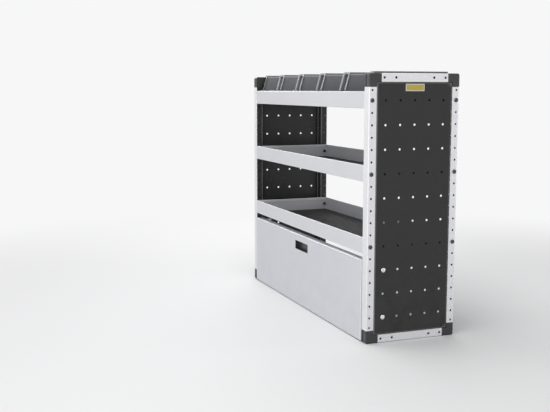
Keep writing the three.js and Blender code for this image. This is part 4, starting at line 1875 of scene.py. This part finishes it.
@dataclass(frozen=True)
class NutShape:
    """A hexagon nut, with a round flange under it where the flange has a width."""

    width: float = 13 * MM
    height: float = 6.3 * MM
    flange_width: float = 0.0
    flange_height: float = 2 * MM
    flange_bevel: float = 0.3 * MM
    chamfer: float = 0.7 * MM
    face_inset: float = 0.1 * MM

    def stations(self, base: float) -> list[Station]:
        """Gives stations (place, radius, hexagon share) from the nut's free face to its seat.

        Args:
            base: The place of the free face.

        Returns:
            The stations.
        """
        flats, face = self.width / 2, self.width / 2 - self.face_inset
        seat = base + self.height
        free_side = [(base, face, 0.0), (base + self.chamfer, flats, 1.0)]
        if not self.flange_width:
            return [*free_side, (seat - self.chamfer, flats, 1.0), (seat, face, 0.0)]
        rim = self.flange_width / 2
        return [
            *free_side,
            (seat - self.flange_height, flats, 1.0),
            (seat - self.flange_height / 2, rim - self.flange_bevel, 0.0),
            (seat - self.flange_height / 3, rim, 0.0),
            (seat, rim, 0.0),
        ]


@dataclass
class Fasteners:
    """The black tray bolts and the bright bracket screws, each with its nut run up on it."""

    workshop: Workshop
    bolt_head: HeadShape = HeadShape(4.5 * MM, 2.2 * MM)
    screw_head: HeadShape = HeadShape(4 * MM, 1.8 * MM)
    bolt_nut: NutShape = NutShape(flange_width=17.5 * MM)
    screw_nut: NutShape = NutShape()
    shank: float = 4 * MM
    chamfer: float = 0.6 * MM
    tip: float = 1.5 * MM
    sides: int = 36

    def build(self) -> None:
        """Makes all the bolts and screws."""
        bolts = [f"tray_bolt_{{}}_{depth}_{tray}" for depth in DEPTHS for tray in TRAYS]
        screws = [f"bracket_screw_{{}}_{name}" for name in SCREWS]
        kinds = [(node, self.bolt_head, self.bolt_nut, BLACK_BOLT) for node in bolts]
        kinds += [(node, self.screw_head, self.screw_nut, BRIGHT_STEEL) for node in screws]
        for end, x in ENDS.items():
            for node, head, nut, finish in kinds:
                draft = self._fastener(Extent.of(node.format("right")), head, nut)
                self.workshop.piece(draft, node.format(end), "turned", finish, sides=(x, 1, 1))

    def _fastener(self, extent: Extent, head: HeadShape, nut: NutShape) -> bmesh.types.BMesh:
        """Makes one fastener of the right end as a turned body.

        Args:
            extent: The box round it.
            head: The shape of its head.
            nut: The shape of its nut.

        Returns:
            Its draft.
        """
        seat = extent.high.x - head.height
        nut_low = extent.low.x + self.tip
        stations = [
            (extent.low.x, self.shank - self.chamfer),
            (extent.low.x + self.chamfer, self.shank),
            (nut_low, self.shank),
            *nut.stations(nut_low),
            (nut_low + nut.height, self.shank),
            (seat, self.shank),
            *head.stations(seat, extent.size.z / 2),
        ]
        return loft(turned(stations, extent.middle.yz, self.sides))


@dataclass
class Label:
    """The blank label on the right end panel."""

    workshop: Workshop
    colour: Colour = (0.50, 0.40, 0.085)
    roughness: float = 0.32
    radius: float = 3 * MM
    edge: float = 0.12 * MM
    corner_steps: int = 6

    def build(self) -> None:
        """Makes the label as a thin plate with round corners, and its film to the same size."""
        extent = Extent.of("blank_label")
        middle = extent.middle.yz
        half = (extent.size.y / 2, extent.size.z / 2)
        film = LabelFilm(Slot.LABEL_FILM, self.colour, self.roughness, tuple(middle), half)
        outline = rounded_ring(half, self.radius, self.corner_steps)
        ring = [(middle[0] + u, middle[1] + v) for u, v in outline]
        draft = loft([[Vector((x, y, z)) for y, z in ring] for x in (extent.low.x, extent.high.x)])
        self.workshop.piece(draft, "blank_label", "printed", film, Trim(edge=self.edge))


# The studio


@dataclass(frozen=True)
class Lamp:
    """A soft rectangular lamp."""

    name: str
    place: tuple[float, float, float]
    aim: tuple[float, float, float]
    size: Point2
    power: float

    def build(self) -> None:
        """Makes the lamp and points it."""
        light = bpy.data.lights.new(self.name, "AREA")
        light.shape = "RECTANGLE"
        light.size, light.size_y = self.size
        light.energy = self.power
        made = bpy.data.objects.new(self.name, light)
        made.location = self.place
        aim = Vector(self.aim) - Vector(self.place)
        made.rotation_euler = aim.to_track_quat("-Z", "Y").to_euler()
        made.visible_camera = False
        bpy.context.scene.collection.objects.link(made)


@dataclass
class Studio:
    """Pale floor, even light and a camera at the photograph's angle."""

    lamps: tuple[Lamp, ...] = (
        Lamp("key_lamp", (2.5, -2.1, 0.98), (0.5, 0.0, 0.7), (0.9, 1.8), 21.5),
        Lamp("front_lamp", (0.0, -3.2, 1.0), (-0.1, 0.0, 0.6), (1.2, 1.6), 9.0),
        Lamp("back_lamp", (1.4, 2.6, 0.98), (0.6, 0.0, 0.7), (0.9, 1.8), 14.0),
        Lamp("rim_lamp", (-3.4, 1.2, 1.5), (0.0, 0.0, 0.8), (2.4, 1.8), 30.0),
        Lamp("far_lamp", (-3.2, -0.45, 1.9), (0.0, 0.0, 0.7), (1.2, 0.9), 18.0),
        Lamp("top_lamp", (0.2, -0.8, 3.3), (0.1, 0.0, 0.6), (2.2, 1.6), 58.0),
    )
    camera_place: tuple[float, float, float] = (3.8829, -1.8164, 1.0541)
    camera_turn: Point2 = (math.radians(90 - 7.573), math.radians(69.319))
    camera_lens: float = 57.41
    camera_reach: float = 60.0
    backdrop: Colour = (0.93, 0.93, 0.935)
    sky: Colour = (0.97, 0.98, 1.0)
    sky_strength: float = 0.48
    floor_radius: float = 9.0
    floor_sides: int = 96
    floor_colour: Colour = (0.70, 0.70, 0.70)
    floor_roughness: float = 0.7
    floor_fade: Point2 = (0.9, 3.6)

    def build(self) -> None:
        """Makes the world, the floor, the lamps and the camera."""
        bpy.context.scene.view_settings.view_transform = "Standard"
        self._world()
        self._floor()
        for lamp in self.lamps:
            lamp.build()
        self._camera()

    def _world(self) -> None:
        """Lights the scene evenly, and shows a plain pale backdrop to the camera and in gloss."""
        world = bpy.data.worlds.new("studio")
        bpy.context.scene.world = world
        graph = Graph(world)
        sky = {"Color": opaque(self.sky), "Strength": self.sky_strength}
        light = graph.node("ShaderNodeBackground", inputs=sky)
        shown = graph.node("ShaderNodeBackground", inputs={"Color": opaque(self.backdrop)})
        mix = {0: graph.watched(), 1: light.out(), 2: shown.out()}
        surface = graph.node("ShaderNodeMixShader", inputs=mix).out()
        graph.node("ShaderNodeOutputWorld", inputs={"Surface": surface})

    def _floor(self) -> None:
        """Lays a round floor that fades into the backdrop."""
        draft = bmesh.new()
        size = {"segments": self.floor_sides, "radius": self.floor_radius}
        bmesh.ops.create_circle(draft, cap_ends=True, **size)
        mesh = mesh_from(draft, "studio_floor")
        floor = bpy.data.objects.new("studio_floor", mesh)
        bpy.context.scene.collection.objects.link(floor)
        graph = Graph.material("studio_floor")
        grain = graph.noise(25 * MM, 4)
        colour = graph.blend(grain, shade(self.floor_colour, 0.985), shade(self.floor_colour, 1.015))
        inputs = {"Base Color": colour, "Roughness": self.floor_roughness}
        paint = graph.node("ShaderNodeBsdfPrincipled", inputs=inputs)
        glow = graph.node("ShaderNodeEmission", inputs={"Color": opaque(self.backdrop)})
        away = graph.node("ShaderNodeVectorMath", {"operation": "LENGTH"}, {0: graph.place()}).out("Value")
        fade = away.ramp(*self.floor_fade) * graph.watched()
        mix = graph.node("ShaderNodeMixShader", inputs={0: fade, 1: paint.out(), 2: glow.out()})
        graph.node("ShaderNodeOutputMaterial", inputs={"Surface": mix.out()})
        mesh.materials.append(graph.owner)

    def _camera(self) -> None:
        """Sets the camera where the photograph was taken from."""
        lens = bpy.data.cameras.new("camera")
        lens.lens = self.camera_lens
        lens.clip_end = self.camera_reach
        made = bpy.data.objects.new("camera", lens)
        made.location = self.camera_place
        made.rotation_euler = (self.camera_turn[0], 0, self.camera_turn[1])
        bpy.context.scene.collection.objects.link(made)
        bpy.context.scene.camera = made


def main() -> None:
    """Builds the unit and the studio."""
    logging.basicConfig(level=logging.INFO, format="%(name)s %(message)s")
    workshop = Workshop()
    for makes in (EndFrames, TrayStack, BinRow, Flap, Fasteners, Label):
        makes(workshop).build()
    Studio().build()
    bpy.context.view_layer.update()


if __name__ == "__main__":
    main()
